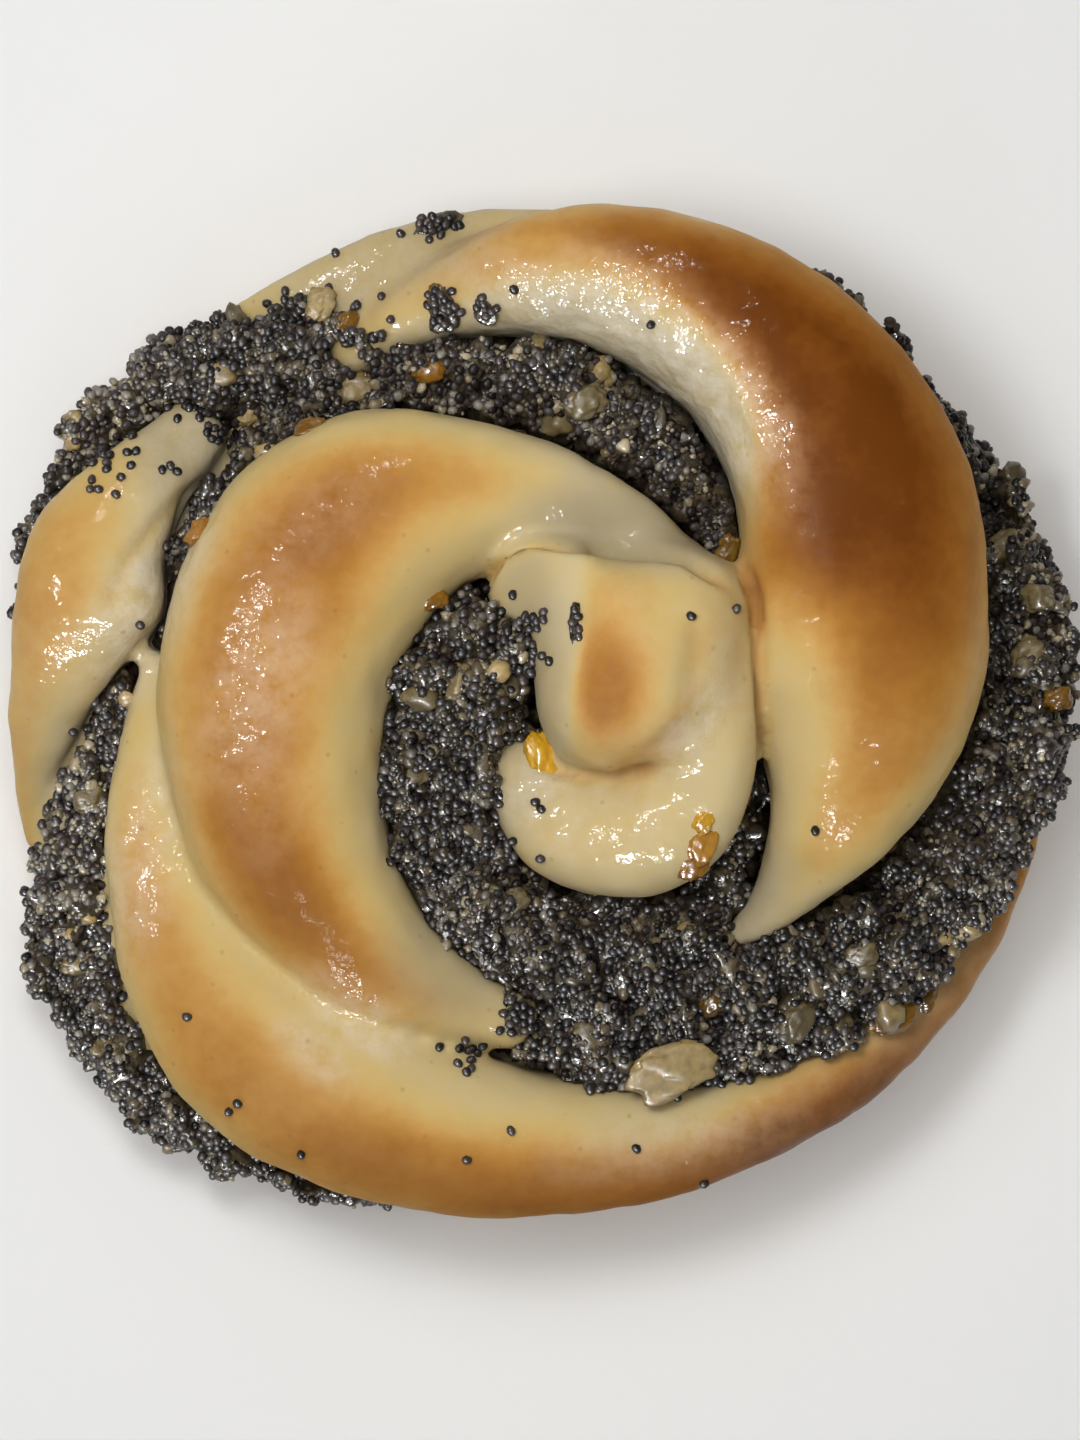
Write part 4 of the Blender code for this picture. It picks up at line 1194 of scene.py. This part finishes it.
dough = makeDough()
smoothShaded(dough, glazedDoughMaterial())
print("dough", len(dough.data.polygons), "faces")
paste = makePaste()
smoothShaded(paste, pasteMaterial())
print("paste", len(paste.data.polygons), "faces")

faces, doughTree = openFaces(paste, dough)
syrupAndShadeAlongDough(paste, doughTree)
pasteTree = surfaceTree(paste)
print("open paste", round(sum(area for _, _, area in faces) / mm ** 2), "mm2")

grains = {name: grainMaterial(*look) for name, look in grainLooks.items()}
planted = []
for name, pieces, material in (("steepedNuts", steepedNuts, grains["nutBits"]),
                               ("candiedPeel", candiedPeel, grains["candiedPeel"]),
                               ("pasteSmears", pasteSmears, paste.data.materials[0])):
    planted.append(laidPieces(name, pieces, (pasteTree, doughTree), material))
    print(name, len(pieces), "laid")

taken = {}
for name, kind in seedKinds.items():
    places = grainPlaces(kind, spreadPlaces(faces, kind, taken))
    form = crumbForm("form", kind["fineness"]) if "fineness" in kind else seedForm("form")
    planted.append(plantOnPlaces(name, form, places, grains[name]))
    print(name, len(places), "placed,", len(planted[-1].data.polygons), "faces")

tops = (pasteTree, doughTree, surfaceTree(planted[2]))  # the smears carry seeds too
places = loosePlaces(tops, dough, pasteTree)
looseOnes = plantOnPlaces("looseSeeds", seedForm("form"), places, grains["ripeSeeds"])
print("looseSeeds", len(places), "placed")

owners = [(looseOnes, "dough"), (dough, "dough"), (paste, "poppy_filling")]
for piece, node in owners + [(piece, "poppy_filling") for piece in planted]:
    piece.data.transform(Matrix.Translation(rollShift))
    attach(piece, "root")
    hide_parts(node)

# A pale floor, soft light and the camera.
floorBuild = bmesh.new()
bmesh.ops.create_grid(floorBuild, x_segments=1, y_segments=1, size=4)
floor = newPiece("floor", floorBuild)
floorMaterial, floorTree, floorShader = newMaterial("paleFloor")
setInputs(floorTree, floorShader, {"Base Color": "#F2F1EF", "Roughness": 0.9})
smoothShaded(floor, floorMaterial)

# Place and size in m, energy, and whether a light only glints. The others fill without a shine, so that the
# crust keeps its colour.
lights = (
    ("roomLight", (-0.1, 0.12, 0.55), 0.35, 1.0, False),
    ("lampLight", (-0.026, 0.02, 0.2), 0.04, 0.12, False),
    ("lowerGlints", (-0.2, -0.3, 0.38), 0.05, 4.0, True),
    ("frontGlints", (-0.03, -0.4, 0.4), 0.05, 4.0, True),
    ("upperGlints", (-0.04, 0.3, 0.36), 0.03, 0.4, True),
    ("leftGlints", (-0.28, 0.07, 0.42), 0.04, 1.7, True),
)
for name, place, size, energy, glints in lights:
    data = bpy.data.lights.new(name, "AREA")
    data.shape = "DISK"
    data.size = size
    data.energy = energy
    lamp = bpy.data.objects.new(name, data)
    lamp.location = place
    lamp.visible_glossy = glints
    lamp.visible_diffuse = not glints
    lamp.visible_camera = False
    lamp.rotation_euler = (Vector((0, 0, 0.02)) - lamp.location).to_track_quat("-Z", "Y").to_euler()
    bpy.context.scene.collection.objects.link(lamp)

world = bpy.data.worlds.new("softRoom")
world.use_nodes = True
setInputs(world.node_tree, world.node_tree.nodes["Background"], {"Color": "#F4F6F8", "Strength": 0.44})
bpy.context.scene.world = world
world.cycles_visibility.glossy = False
bpy.context.scene.view_settings.view_transform = "Standard"

# It looks straight down, and the picture's 1080 pixels take in 109.8 mm of the table.
overhead = {"height": 350, "sensor": 36, "pixels": 1080, "pixelsPerMm": 9.84}
cameraData = bpy.data.cameras.new("overhead")
cameraData.sensor_fit = "HORIZONTAL"
cameraData.sensor_width = overhead["sensor"]
cameraData.lens = overhead["sensor"] * overhead["height"] / (overhead["pixels"] / overhead["pixelsPerMm"])
camera = bpy.data.objects.new("overhead", cameraData)
camera.location = (rollShift.x, rollShift.y, overhead["height"] * mm)
bpy.context.scene.collection.objects.link(camera)
bpy.context.scene.camera = camera
print("floor, lights and camera set")

bpy.context.view_layer.update()
